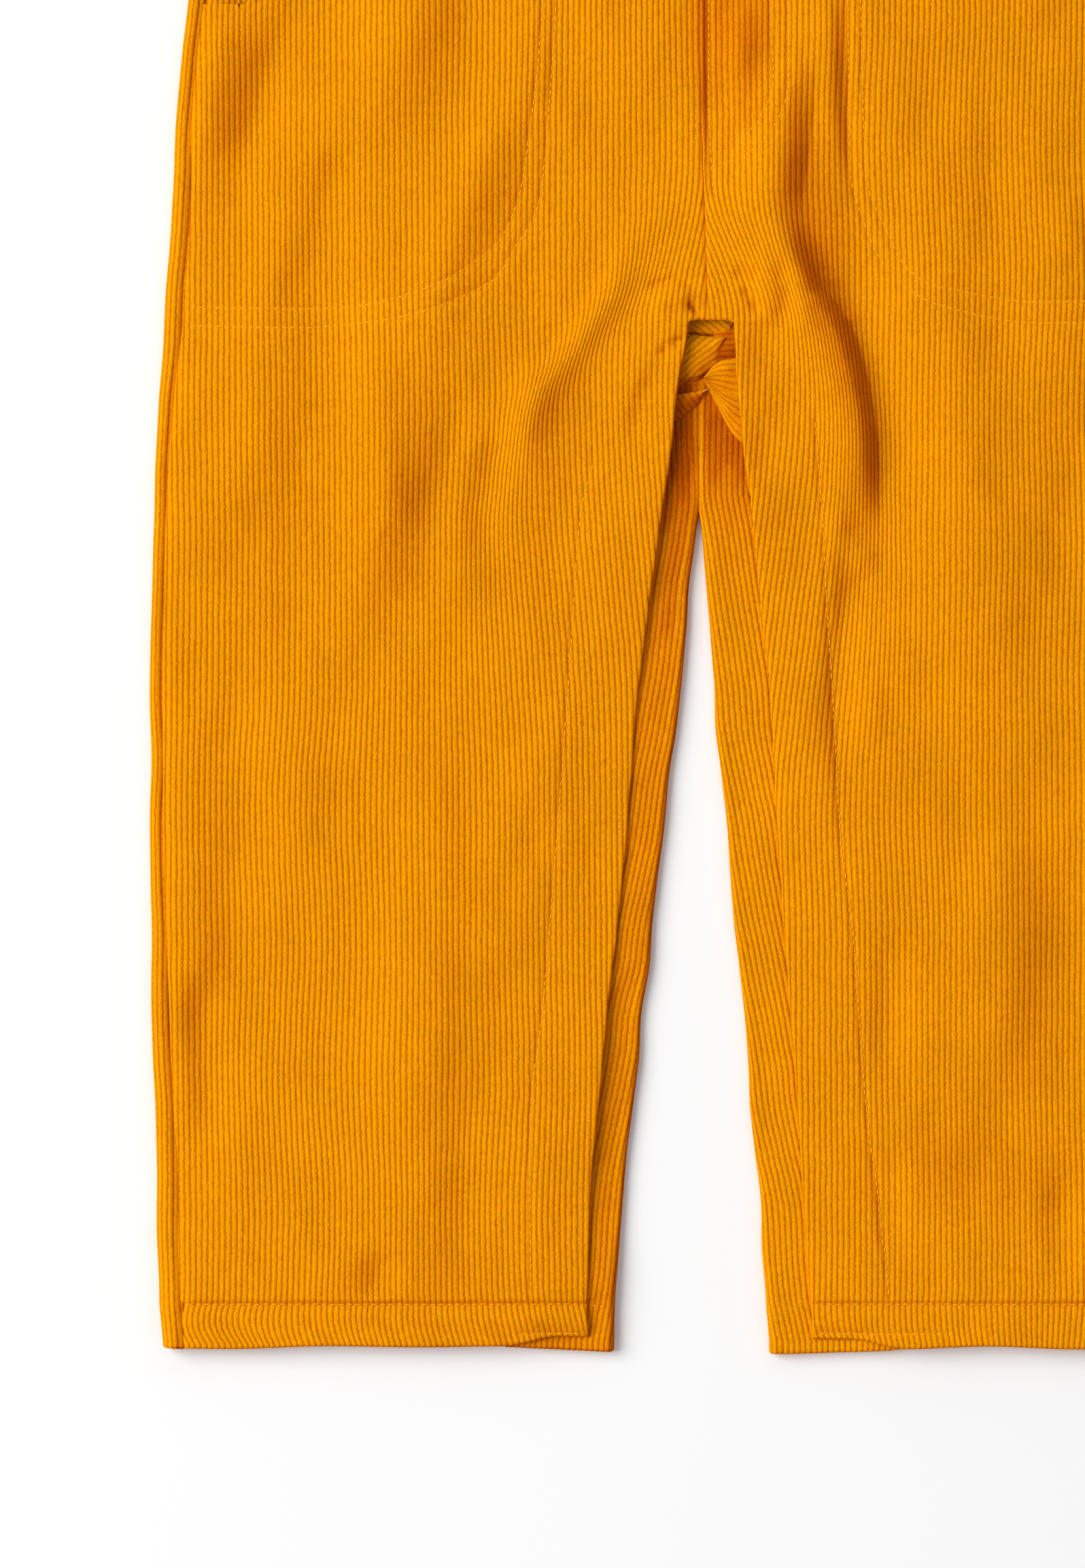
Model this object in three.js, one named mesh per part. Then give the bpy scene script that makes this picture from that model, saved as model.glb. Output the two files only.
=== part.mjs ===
import * as THREE from "three";

// Kids' corduroy dungarees, buttoned up and laid flat on their back with the front up.
// Millimetres. +Z is up, +Y runs from the hems to the shoulders, +X is to the right seen from above.
// "up" is the height above the hems, "out" the distance from the middle line on either side.

// Cloth
const wall = 1.5; // one layer of corduroy
const hemWall = 2.4; // turned up once and pressed
const seamGap = 0.3; // between one piece and the next
const fold = 6; // height of the flattened garment at its folded sides
const hemFold = 8; // the same over the thicker hems
const hemDepth = 13;
const hemStep = 2; // where the hem's turned edge ends
const hemBlend = 36; // length over which the leg settles from the hem's height
const crown = 0.6; // air under the middle of a front panel

// Lengths above the hems
const frontCrotch = 365;
const waist = 575;
const bibFrontTop = 725;
const bibBackTop = 700;
const shoulder = 790;

// Where edges lap over one another
const legTuck = 4; // back panel under the front's inner leg edge
const flyTuck = 6; // left front under the right front
const flyStart = 384; // height where that lap begins, above the plain crotch seam
const flyColumns = [0, 3.5, 7, 11]; // closer columns beside the fly
const hemCorner = 45; // stretch of hem that slants at its inner corner
const hemSlantFade = 60; // height at which that slant has gone
const backHemDrop = 1.7;
const frontHemRise = 4;

// Straps and buttons
const strapWidth = 32;
const strapThick = 2.4;
const strapFrontOut = 57;
const strapBackOut = 46;
const strapLap = 45; // strap end on the front bib
const strapSewn = 22; // strap end on the back bib
const strapDrop = [20, 40]; // above the front bib, where the strap settles on the back strap
const strapRise = [14, 40]; // above the back bib, where it lifts off the floor again
const strapClear = 2; // past a bib's edge before the strap changes height
const buttonRadius = 10;
const buttonThick = 3;
const buttonBevel = 1;
const buttonRim = 3; // width of the raised rim
const buttonDish = 0.8; // how far the middle lies below the rim
const buttonDown = 28; // below the top of the front bib

// One row for each section of a side: the folded outer side, the side seam (the front panel's edge),
// the front's inner leg edge, and the inner fold of the back panel. Above the crotch the inner leg
// edge isn't read, because the fly takes its place.
const leftSide = [
  { up: 0, outer: 192.7, seam: 184.9, edge: 40.7, inner: 31.2 },
  { up: 14, outer: 194.1, seam: 185.4, edge: 40.7, inner: 29.8 },
  { up: 60, outer: 194.9, seam: 187.1, edge: 39.0, inner: 26.1 },
  { up: 120, outer: 196.6, seam: 189.3, edge: 33.2, inner: 19.8 },
  { up: 180, outer: 197.0, seam: 191.5, edge: 26.8, inner: 12.7 },
  { up: 240, outer: 197.0, seam: 191.9, edge: 21.8, inner: 6.1 },
  { up: 290, outer: 196.1, seam: 191.0, edge: 14.9, inner: 1.0 },
  { up: 315, outer: 194.9, seam: 189.9, edge: 11.5, inner: 0.2 },
  { up: 340, outer: 193.7, seam: 187.8, edge: 8.8, inner: 0.2 },
  { up: 365, outer: 192.2, seam: 184.6, edge: 3.9, inner: 0.2 },
  { up: 390, outer: 190.5, seam: 183.2, edge: 3.9, inner: 0.2 },
  { up: 430, outer: 188.3, seam: 182.2, edge: 3.9, inner: 0.2 },
  { up: 482, outer: 183.7, seam: 178.0, edge: 3.9, inner: 0.2 },
  { up: 530, outer: 177.0, seam: 171.2, edge: 3.9, inner: 0.2 },
  { up: 575, outer: 167.0, seam: 161.2, edge: 3.9, inner: 0.2 },
];
const rightSide = [
  { up: 0, outer: 187.1, seam: 180.0, edge: 41.2, inner: 25.6 },
  { up: 14, outer: 188.5, seam: 181.0, edge: 40.7, inner: 24.1 },
  { up: 60, outer: 190.0, seam: 183.0, edge: 37.8, inner: 21.2 },
  { up: 120, outer: 192.7, seam: 187.0, edge: 33.4, inner: 15.6 },
  { up: 180, outer: 194.6, seam: 189.5, edge: 29.3, inner: 10.0 },
  { up: 240, outer: 196.2, seam: 191.0, edge: 25.4, inner: 4.6 },
  { up: 290, outer: 197.0, seam: 191.9, edge: 20.0, inner: 0.5 },
  { up: 315, outer: 197.0, seam: 191.6, edge: 17.3, inner: 0.2 },
  { up: 340, outer: 197.0, seam: 190.6, edge: 14.4, inner: 0.2 },
  { up: 365, outer: 196.0, seam: 189.2, edge: 12.9, inner: 0.2 },
  { up: 390, outer: 194.8, seam: 187.8, edge: 12.9, inner: 0.2 },
  { up: 430, outer: 191.8, seam: 185.4, edge: 12.9, inner: 0.2 },
  { up: 482, outer: 186.6, seam: 180.8, edge: 12.9, inner: 0.2 },
  { up: 530, outer: 179.4, seam: 173.6, edge: 12.9, inner: 0.2 },
  { up: 575, outer: 169.0, seam: 163.2, edge: 12.9, inner: 0.2 },
];

// The fly edge of the right front panel, leaning towards the right as it goes down.
const flyEdge = [
  { up: frontCrotch, out: 3.7 },
  { up: 410, out: 2.6 },
  { up: 440, out: 1.2 },
  { up: waist, out: 1.0 },
];

// The scooped pocket opening, cut out of the front panel's upper outer corner.
const scoopStart = 480.5;
const scoop = [
  { up: 482.5, out: 160 },
  { up: 487, out: 145 },
  { up: 495, out: 133 },
  { up: 510, out: 124 },
  { up: 530, out: 118 },
  { up: waist, out: 113 },
];
const pocket = { low: 468, inward: 14, under: 2, deepest: 146 };

// The drag folds that run down from the crotch over each thigh.
const leftDrag = {
  height: 2.4,
  halfWidth: 8,
  fade: 22,
  path: [
    { up: 311, out: 70 },
    { up: 336, out: 60 },
    { up: 350, out: 51 },
    { up: 368, out: 39 },
    { up: 380, out: 30 },
    { up: 402, out: 24 },
  ],
};
const rightDrag = {
  height: 3.4,
  halfWidth: 7,
  fade: 22,
  path: [
    { up: 299, out: 59 },
    { up: 336, out: 54 },
    { up: 360, out: 45.5 },
    { up: 380, out: 34.5 },
    { up: 397, out: 25 },
    { up: 409, out: 16 },
  ],
};

// The back panel's inner edge lies folded over the leg, and unrolls flat under the front crotch.
const unroll = [
  { up: 340, turn: 180, lap: 12 },
  { up: 358, turn: 180, lap: 6 },
  { up: 364, turn: 180, lap: 0.6 },
  { up: 368, turn: 135, lap: 0.6 },
  { up: 372, turn: 90, lap: 0.6 },
  { up: 376, turn: 45, lap: 0.6 },
  { up: 380, turn: 8, lap: 0.6 },
];

const bibFrontSides = [
  { up: waist, out: 112 },
  { up: 585, out: 100 },
  { up: 600, out: 91 },
  { up: 625, out: 84 },
  { up: 660, out: 80.5 },
  { up: bibFrontTop, out: 78 },
];
const bibBackSides = [
  { up: waist, out: 164 },
  { up: 585, out: 148 },
  { up: 600, out: 128 },
  { up: 622, out: 106 },
  { up: 650, out: 88 },
  { up: bibBackTop, out: 70 },
];

// Heights of the sections.
const legHeights = [0, hemDepth, hemDepth + hemStep, 60, 120, 180, 240];
const backHeights = [...legHeights, 290, 315, ...unroll.map((row) => row.up), 390, 430, 482, 530, waist];
const thighHeights = [275, 290, 305, 320, 335, 350, frontCrotch - 1.5];
const hipHeights = [frontCrotch + 1.5, 374, flyStart - 4, flyStart, flyStart + 4, 400, 415, 430, 455, 480];
const frontHeights = [...legHeights, ...thighHeights, ...hipHeights, ...scoop.map((row) => row.up)];
const pocketHeights = [pocket.low, 480, 495, 510, 530, waist - seamGap];

// Columns of points across each piece, and steps round its folds.
const foldSteps = 6;
const hookSteps = 5;
const undersideColumns = 7;
const frontColumns = 12;
const pocketColumns = 7;
const bibColumns = 9;
const strapColumns = 3;
const buttonSteps = 24;

const sides = {
  left: { sign: -1, rows: leftSide, drag: leftDrag },
  right: { sign: 1, rows: rightSide, drag: rightDrag },
};
const boxMiddle = (shoulder - backHemDrop) / 2;

const corduroy = new THREE.MeshStandardMaterial({ color: 0xe8960f, roughness: 0.9, metalness: 0 });
const pocketCorduroy = corduroy.clone();
const resin = new THREE.MeshStandardMaterial({ color: 0x6b4220, roughness: 0.4, metalness: 0 });

// A column of a table at any height, in straight lines between its rows.
function at(table, column, up) {
  const last = table.length - 1;
  if (up <= table[0].up) return table[0][column];
  if (up >= table[last].up) return table[last][column];
  const i = table.findIndex((row) => row.up > up);
  const share = (up - table[i - 1].up) / (table[i].up - table[i - 1].up);
  return THREE.MathUtils.lerp(table[i - 1][column], table[i][column], share);
}

function evenly(from, to, count) {
  return Array.from({ length: count }, (_, i) => THREE.MathUtils.lerp(from, to, i / (count - 1)));
}

function foldHeight(up) {
  const share = THREE.MathUtils.clamp((up - hemDepth - hemStep) / hemBlend, 0, 1);
  return THREE.MathUtils.lerp(hemFold, fold, share);
}

function wallAt(up) {
  return up <= hemDepth ? hemWall : wall;
}

// Top of the cloth that lies just under a front panel.
function underHeight(up) {
  return foldHeight(up) - (up <= hemDepth + hemStep ? hemWall : wall) - seamGap;
}

// Points of an arc that turns clockwise.
function arc(centreX, centreY, radius, start, turn, steps) {
  return evenly(start, start - turn, steps + 1).map((degrees) => {
    const angle = THREE.MathUtils.degToRad(degrees);
    return new THREE.Vector2(centreX + radius * Math.cos(angle), centreY + radius * Math.sin(angle));
  });
}

// The inner face of a section, one wall to the right of its outer face as the section runs.
function inset(points, thick) {
  return points.map((point, i) => {
    const before = points[Math.max(i - 1, 0)];
    const after = points[Math.min(i + 1, points.length - 1)];
    const along = after.clone().sub(before).normalize();
    return new THREE.Vector2(point.x + along.y * thick, point.y - along.x * thick);
  });
}

function signedVolume(points, index) {
  let volume = 0;
  for (let k = 0; k < index.length; k += 3) {
    const [a, b, c] = [points[index[k]], points[index[k + 1]], points[index[k + 2]]];
    volume += a.dot(b.clone().cross(c));
  }
  return volume;
}

// A closed wall between two grids of points, with its rim.
function wallMesh(name, outer, inner, material) {
  const rows = outer.length;
  const columns = outer[0].length;
  const points = [...outer.flat(), ...inner.flat()];
  const innerStart = rows * columns;
  const index = [];
  const quad = (a, b, c, d) => index.push(a, b, c, a, c, d);
  for (let i = 0; i < rows - 1; i += 1) {
    for (let j = 0; j < columns - 1; j += 1) {
      const a = i * columns + j;
      quad(a, a + 1, a + columns + 1, a + columns);
      const b = innerStart + a;
      quad(b, b + columns, b + columns + 1, b + 1);
    }
  }
  const rim = [];
  for (let j = 0; j < columns - 1; j += 1) rim.push(j);
  for (let i = 0; i < rows - 1; i += 1) rim.push(i * columns + columns - 1);
  for (let j = columns - 1; j > 0; j -= 1) rim.push((rows - 1) * columns + j);
  for (let i = rows - 1; i > 0; i -= 1) rim.push(i * columns);
  rim.forEach((a, k) => {
    const b = rim[(k + 1) % rim.length];
    quad(b, a, innerStart + a, innerStart + b);
  });
  if (signedVolume(points, index) < 0) index.reverse();
  const geometry = new THREE.BufferGeometry().setFromPoints(points);
  geometry.setIndex(index);
  geometry.computeVertexNormals();
  const mesh = new THREE.Mesh(geometry, material);
  mesh.name = name;
  return mesh;
}

// Sews up a panel from its sections: a section's x is its distance out and its y its height.
function panel(name, sign, heights, section, thick, material, slant = () => 0) {
  const place = (up) => (p) => new THREE.Vector3(sign * p.x, up + slant(p.x, up) - boxMiddle, p.y);
  const outer = heights.map((up) => section(up).map(place(up)));
  const inner = heights.map((up) => inset(section(up), thick(up)).map(place(up)));
  return wallMesh(name, outer, inner, material);
}

// How far the hem slants at its inner corner.
function hemSlant(side, amount) {
  const edge = at(side.rows, "edge", 0);
  return (out, up) => {
    const near = THREE.MathUtils.clamp((edge + hemCorner - out) / hemCorner, 0, 1);
    return amount * near * THREE.MathUtils.clamp(1 - up / hemSlantFade, 0, 1);
  };
}

// Back panel: from the side seam on top, round the outer fold, flat underneath, and round the
// leg's inner fold to lie under the front panel's edge.
function backSection(side) {
  return (up) => {
    const round = foldHeight(up) / 2;
    const outer = at(side.rows, "outer", up) - round;
    const seam = at(side.rows, "seam", up) + seamGap;
    const turn = at(unroll, "turn", up);
    const angle = THREE.MathUtils.degToRad(turn);
    const hook = underHeight(up) / 2;
    const apex = at(side.rows, "inner", up);
    const legLap = at(side.rows, "edge", up) + legTuck - apex - hook;
    const lap = up < unroll[0].up ? legLap : at(unroll, "lap", up);
    const along = new THREE.Vector2(-Math.cos(angle), Math.sin(angle));
    const reach = hook * Math.sin(Math.min(angle, Math.PI / 2)) + Math.max(along.x * -lap, 0);
    const inner = apex + reach;
    const innerFold = arc(inner, hook, hook, -90, turn, hookSteps);
    const end = innerFold[innerFold.length - 1];
    return [
      new THREE.Vector2(seam, 2 * round),
      new THREE.Vector2((seam + outer) / 2, 2 * round),
      ...arc(outer, round, round, 90, 180, foldSteps),
      ...evenly(outer, inner, undersideColumns).slice(1, -1).map((out) => new THREE.Vector2(out, 0)),
      ...innerFold,
      end.clone().addScaledVector(along, lap / 2),
      end.clone().addScaledVector(along, lap),
    ];
  };
}

function backPanel(name, side) {
  const slant = hemSlant(side, -backHemDrop);
  return panel(name, side.sign, backHeights, backSection(side), wallAt, corduroy, slant);
}

// Height that a drag fold adds to a front panel.
function dragHeight(drag, out, up) {
  const first = drag.path[0].up;
  const last = drag.path[drag.path.length - 1].up;
  const past = Math.max(first - up, up - last, 0);
  const away = (out - at(drag.path, "out", up)) / drag.halfWidth;
  return drag.height * Math.exp(-away * away) * THREE.MathUtils.clamp(1 - past / drag.fade, 0, 1);
}

// Inner end of a front panel: the leg's edge, or above the crotch the fly, where the left panel
// goes on under the right one.
function frontEnd(side, up) {
  if (up < frontCrotch) return at(side.rows, "edge", up);
  const fly = side.sign * at(flyEdge, "out", up);
  if (side.sign > 0) return fly;
  return up <= flyStart ? fly + seamGap : fly - flyTuck;
}

function frontSection(side) {
  return (up) => {
    const seam = up > scoopStart ? at(scoop, "out", up) : at(side.rows, "seam", up);
    const end = frontEnd(side, up);
    const under = side.sign < 0 && up >= flyStart;
    const [nearest, near, far, last] = flyColumns.map((step) => end + step);
    return [nearest, near, far, ...evenly(last, seam, frontColumns)]
      .map((out) => {
        const share = (out - end) / (seam - end);
        const lapped = under ? 1 - THREE.MathUtils.smoothstep(out, far, last) : 0;
        const height = foldHeight(up) + crown * Math.sin(Math.PI * share) + dragHeight(side.drag, out, up);
        return new THREE.Vector2(out, THREE.MathUtils.lerp(height, underHeight(up), lapped));
      });
  };
}

function frontPanel(name, side) {
  const slant = hemSlant(side, frontHemRise);
  return panel(name, side.sign, frontHeights, frontSection(side), wallAt, corduroy, slant);
}

// The side piece that shows in a pocket opening, between the layers.
function pocketSide(name, side) {
  const section = (up) => {
    const inner = at(scoop, "out", up) - pocket.inward;
    const outer = at(side.rows, "seam", up) + pocket.under;
    return evenly(Math.min(inner, pocket.deepest), outer, pocketColumns)
      .map((out) => new THREE.Vector2(out, underHeight(up)));
  };
  return panel(name, side.sign, pocketHeights, section, () => wall, pocketCorduroy);
}

function bib(name, table, height, direction) {
  const heights = table.map((row) => (row.up === waist ? waist + seamGap : row.up));
  const section = (up) => {
    const half = direction * at(table, "out", up);
    return evenly(-half, half, bibColumns).map((x) => new THREE.Vector2(x, height));
  };
  return panel(name, 1, heights, section, () => wall, corduroy);
}

// A strap's outer face from its end on the front bib, over the shoulder and down to the back bib.
function strapPath() {
  const onBib = fold + seamGap + strapThick;
  const double = 2 * strapThick + seamGap;
  const turn = double / 2;
  return [
    new THREE.Vector2(bibFrontTop - strapLap, onBib),
    new THREE.Vector2(bibFrontTop - strapLap / 2, onBib),
    new THREE.Vector2(bibFrontTop + strapClear, onBib),
    ...strapDrop.map((above) => new THREE.Vector2(bibFrontTop + above, double)),
    ...arc(shoulder - turn, turn, turn, 90, 180, foldSteps),
    ...strapRise.toReversed().map((above) => new THREE.Vector2(bibBackTop + above, 0)),
    new THREE.Vector2(bibBackTop + strapClear, wall + seamGap),
    new THREE.Vector2(bibBackTop - strapSewn, wall + seamGap),
  ];
}

function strapOut(share) {
  return THREE.MathUtils.lerp(strapFrontOut, strapBackOut, share);
}

function strap(name, sign) {
  const path = strapPath();
  const lengths = path.map((p, i) => (i ? p.distanceTo(path[i - 1]) : 0));
  const total = lengths.reduce((sum, length) => sum + length, 0);
  let run = 0;
  const shares = lengths.map((length) => {
    run += length;
    return run / total;
  });
  const across = (p, i) => evenly(-strapWidth / 2, strapWidth / 2, strapColumns)
    .map((x) => new THREE.Vector3(sign * strapOut(shares[i]) + x, p.x - boxMiddle, p.y));
  return wallMesh(name, path.map(across), inset(path, strapThick).map(across), corduroy);
}

function button(name, sign) {
  const profile = [
    [0, 0],
    [buttonRadius - buttonBevel, 0],
    [buttonRadius, buttonBevel],
    [buttonRadius, buttonThick - buttonDish],
    [buttonRadius - buttonBevel, buttonThick],
    [buttonRadius - buttonRim, buttonThick],
    [buttonRadius - buttonRim - buttonBevel, buttonThick - buttonDish],
    [0, buttonThick - buttonDish],
  ].map(([x, y]) => new THREE.Vector2(x, y));
  const geometry = new THREE.LatheGeometry(profile, buttonSteps).rotateX(Math.PI / 2);
  const mesh = new THREE.Mesh(geometry, resin);
  const up = bibFrontTop - buttonDown;
  mesh.position.set(sign * strapOut(0), up - boxMiddle, fold + strapThick + 2 * seamGap);
  mesh.name = name;
  return mesh;
}

const dungarees = new THREE.Group();
dungarees.add(
  backPanel("back_left", sides.left),
  backPanel("back_right", sides.right),
  frontPanel("front_left", sides.left),
  frontPanel("front_right", sides.right),
  pocketSide("pocket_side_left", sides.left),
  pocketSide("pocket_side_right", sides.right),
  bib("bib_back", bibBackSides, 0, -1),
  bib("bib_front", bibFrontSides, fold, 1),
  strap("strap_left", -1),
  strap("strap_right", 1),
  button("button_left", -1),
  button("button_right", 1),
);

export default dungarees;
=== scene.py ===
import math

import bmesh
import bpy
import numpy as np
from mathutils import Matrix, Vector


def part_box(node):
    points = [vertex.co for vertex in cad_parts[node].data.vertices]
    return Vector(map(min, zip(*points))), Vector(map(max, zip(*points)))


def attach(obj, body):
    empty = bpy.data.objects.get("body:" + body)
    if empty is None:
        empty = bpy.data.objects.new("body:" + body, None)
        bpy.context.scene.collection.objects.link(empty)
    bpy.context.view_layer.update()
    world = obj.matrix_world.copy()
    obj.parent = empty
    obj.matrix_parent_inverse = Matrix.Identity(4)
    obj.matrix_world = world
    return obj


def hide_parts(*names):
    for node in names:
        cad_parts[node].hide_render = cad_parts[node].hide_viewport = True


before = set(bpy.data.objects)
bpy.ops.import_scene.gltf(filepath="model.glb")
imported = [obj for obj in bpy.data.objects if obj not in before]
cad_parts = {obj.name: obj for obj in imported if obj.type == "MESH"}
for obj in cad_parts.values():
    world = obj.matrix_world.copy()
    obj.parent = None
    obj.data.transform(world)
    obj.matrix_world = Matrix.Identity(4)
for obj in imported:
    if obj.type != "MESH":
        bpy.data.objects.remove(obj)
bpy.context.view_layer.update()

# Everything below is worked out in millimetres and placed in metres. "up" is the height above the
# front hems, and x is across, as in the frame.
mm = 0.001
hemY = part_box("back_left")[0].y / mm + 1.7
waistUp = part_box("front_left")[1].y / mm - hemY
waistTop = waistUp - 0.15

# The camera looks straight down at the lower half of the dungarees.
cameraSettings = {
    "middle": (-56.1, -193.15),
    "viewLength": 562.4,
    "distance": 2400,
    "clothTop": 6,
    "sensor": 36,
}
cameraData = bpy.data.cameras.new("camera")
cameraData.sensor_width = cameraSettings["sensor"]
cameraData.lens = cameraSettings["sensor"] * cameraSettings["distance"] / cameraSettings["viewLength"]
cameraData.clip_end = 20
camera = bpy.data.objects.new("camera", cameraData)
camera.location = (
    cameraSettings["middle"][0] * mm,
    cameraSettings["middle"][1] * mm,
    (cameraSettings["distance"] + cameraSettings["clothTop"]) * mm,
)
bpy.context.scene.collection.objects.link(camera)
bpy.context.scene.camera = camera
print("camera placed")


def sliceNode(name, ups):
    # lowest and highest x of a node where a level line crosses it
    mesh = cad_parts[name].data
    co = np.empty(len(mesh.vertices) * 3)
    mesh.vertices.foreach_get("co", co)
    co = co.reshape(-1, 3) / mm
    pairs = np.empty(len(mesh.edges) * 2, dtype=int)
    mesh.edges.foreach_get("vertices", pairs)
    a, b = co[pairs.reshape(-1, 2)].transpose(1, 0, 2)
    low, high = [], []
    for up in ups:
        y = up + hemY
        crossing = (a[:, 1] - y) * (b[:, 1] - y) < 0
        share = (y - a[crossing, 1]) / (b[crossing, 1] - a[crossing, 1])
        x = a[crossing, 0] + share * (b[crossing, 0] - a[crossing, 0])
        low.append(x.min())
        high.append(x.max())
    return np.array(low), np.array(high)


outlineUps = {
    "leg": np.array([5, 14, 30, 60, 90, 120, 150, 180, 210, 240, 265, 290, 303, 315, 327, 340, 352, 362.5]),
    "side": np.array([5, 14, 30, 60, 90, 120, 150, 180, 210, 240, 290, 315, 340, 365, 390, 430, 478]),
    "pocket": np.array([486, 500, 530, 555, 574]),
    "all": np.array([1, 14, 30, 60, 90, 120, 180, 210, 240, 290, 315, 340, 365, 390, 430, 482, 530, 573]),
}


def measureSide(sign, name):
    def outward(values):
        low, high = values
        return (low, high) if sign > 0 else (-high, -low)

    edge, _ = outward(sliceNode("front_" + name, outlineUps["leg"]))
    _, seam = outward(sliceNode("front_" + name, outlineUps["side"]))
    _, pocketSeam = outward(sliceNode("pocket_side_" + name, outlineUps["pocket"]))
    inner, outer = outward(sliceNode("back_" + name, outlineUps["all"]))
    seamUps = np.concatenate([outlineUps["side"], outlineUps["pocket"]])
    seamOuts = np.concatenate([seam, pocketSeam - 2])
    return {
        "sign": sign,
        "name": name,
        "edge": lambda up: np.interp(up, outlineUps["leg"], edge),
        "seam": lambda up: np.interp(up, seamUps, seamOuts),
        "inner": lambda up: np.interp(up, outlineUps["all"], inner),
        "outer": lambda up: np.interp(up, outlineUps["all"], outer),
    }


sides = {"left": measureSide(-1, "left"), "right": measureSide(1, "right")}
print("outlines measured")


cloth = {
    "pitch": 2.05,  # from one wale to the next
    "depth": 0.27,
    "columns": (0, 0.13, 0.5, 0.87),  # where a wale is cut, from valley to valley
    "edgeRoll": 0.75,
    "hemRoll": 1.2,
    "hemTurn": 13,
    "edgeKept": 6,
    "fold": 6,
    "hemFold": 8,
    "hemBlend": (15, 51),
    "layer": 1.8,  # one wall and the gap above it
    "pileColour": (0.832, 0.305, 0.0006, 1),
    # painted shade: the valleys between wales are coloured darker and redder than the pile
    "valleyShadeColour": (0.66, 0.158, 0.0003, 1),
    # painted shade: the colour is tinted darker and redder where the cloth tilts away from the key light,
    # and more where painted shade is added: from which lean to which, and the tint
    "shadeTints": [(0.02, 0.5, (0.87, 0.61, 0.4, 1)), (0.34, 0.8, (0.66, 0.48, 0.3, 1))],
    "awayFromKey": (0.82, -0.57, 0),  # roughly away from the key light, along the floor; cloth facing this way gets painted shade
    "backColour": (0.78, 0.36, 0.05, 1),
    "ragged": 0.56,  # how far a valley wanders, in wales
    "valley": 0.25,  # from a valley's middle to the full pile, in wales
    # the size of each pattern, its detail, and its darkest and lightest shares
    "tufts": (3200, 2, 0.8, 1.15),
    "streaks": (500, 2, 0.93, 1.06),
    "clouds": (38, 3, 0.95, 1.045),
}


def smooth(value, low, high):
    share = np.clip((value - low) / (high - low), 0, 1)
    return share * share * (3 - 2 * share)


def bumpAt(value, middle, half):
    # 1 at the middle, fading away on both sides
    return np.exp(-((value - middle) / half) ** 2)


def softNoise(x, y, size, seed):
    # smooth random values from -1 to 1, about one swell to each size
    table = np.random.default_rng(seed).uniform(-1, 1, (64, 64))
    gx, gy = np.asarray(x) / size + 1000, np.asarray(y) / size + 1000
    ix, iy = np.floor(gx).astype(int), np.floor(gy).astype(int)
    fx, fy = smooth(gx - ix, 0, 1), smooth(gy - iy, 0, 1)

    def pick(i, j):
        return table[(iy + j) % 64, (ix + i) % 64]

    low = pick(0, 0) * (1 - fx) + pick(1, 0) * fx
    high = pick(0, 1) * (1 - fx) + pick(1, 1) * fx
    return low * (1 - fy) + high * fy


def curveThrough(path, step):
    # points close together on a smooth line through the path's points
    p = np.array(path, dtype=float)
    p = np.vstack([2 * p[0] - p[1], p, 2 * p[-1] - p[-2]])
    out = []
    for i in range(1, len(p) - 2):
        count = max(int(np.linalg.norm(p[i + 1] - p[i]) / step), 1)
        t = (np.arange(count) / count)[:, None]
        a, b, c, d = p[i - 1], p[i], p[i + 1], p[i + 2]
        bend = (2 * a - 5 * b + 4 * c - d) * t * t + (3 * b - a - 3 * c + d) * t ** 3
        out.append(0.5 * (2 * b + (c - a) * t + bend))
    out.append(p[-2][None, :])
    return np.vstack(out)


def nearPath(points, x, y):
    # distance to a line of points, which side it is on, and how far along it
    best = np.full(x.shape, 1e9)
    toRight = np.zeros(x.shape, dtype=bool)
    along = np.zeros(x.shape)
    lengths = np.linalg.norm(np.diff(points, axis=0), axis=1)
    total, run = lengths.sum(), 0
    for (ax, ay), (bx, by), length in zip(points, points[1:], lengths):
        dx, dy = bx - ax, by - ay
        t = np.clip(((x - ax) * dx + (y - ay) * dy) / (length * length), 0, 1)
        px, py = x - ax - t * dx, y - ay - t * dy
        away = np.hypot(px, py)
        nearer = away < best
        best = np.where(nearer, away, best)
        toRight = np.where(nearer, dx * py - dy * px > 0, toRight)
        along = np.where(nearer, (run + t * length) / total, along)
        run += length
    return best, toRight, along


def creaseLift(creases, x, up):
    lift = np.zeros(x.shape)
    for height, left, right, path, *sharp in creases:
        points = curveThrough(path, 6)
        reach = 2.6 * max(left, right)
        low, high = points.min(axis=0) - reach, points.max(axis=0) + reach
        near = (x > low[0]) & (x < high[0]) & (up > low[1]) & (up < high[1])
        if not near.any():
            continue
        away, toRight, along = nearPath(points, x[near], up[near])
        half = np.where(toRight, right, left)
        taper = smooth(along, -0.05, 0.3) * smooth(1 - along, -0.05, 0.3)
        power = 1 if sharp else 2
        lift[near] += height * np.exp(-(away / half) ** power) * taper
    return lift


def waleColumns(low, high):
    first, last = math.floor(low / cloth["pitch"]), math.ceil(high / cloth["pitch"])
    return np.array([(k + part) * cloth["pitch"] for k in range(first, last) for part in cloth["columns"]])


def steppedRows(*spans):
    # each span is from, to, step
    rows = [np.arange(low, high - step / 2, step) for low, high, step in spans]
    return np.concatenate(rows + [[spans[-1][1]]])


def gridNormals(points):
    across = np.gradient(points, axis=1)
    along = np.gradient(points, axis=0)
    normals = np.cross(across, along)
    return normals / np.maximum(np.linalg.norm(normals, axis=2, keepdims=True), 1e-9)


def waleHeight(u):
    phase = np.mod(u / cloth["pitch"], 1)
    return cloth["depth"] * (np.abs(np.sin(np.pi * phase)) ** 0.3 - 1)


def meshFrom(bm, name):
    mesh = bpy.data.meshes.new(name)
    bm.to_mesh(mesh)
    bm.free()
    return mesh


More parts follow.
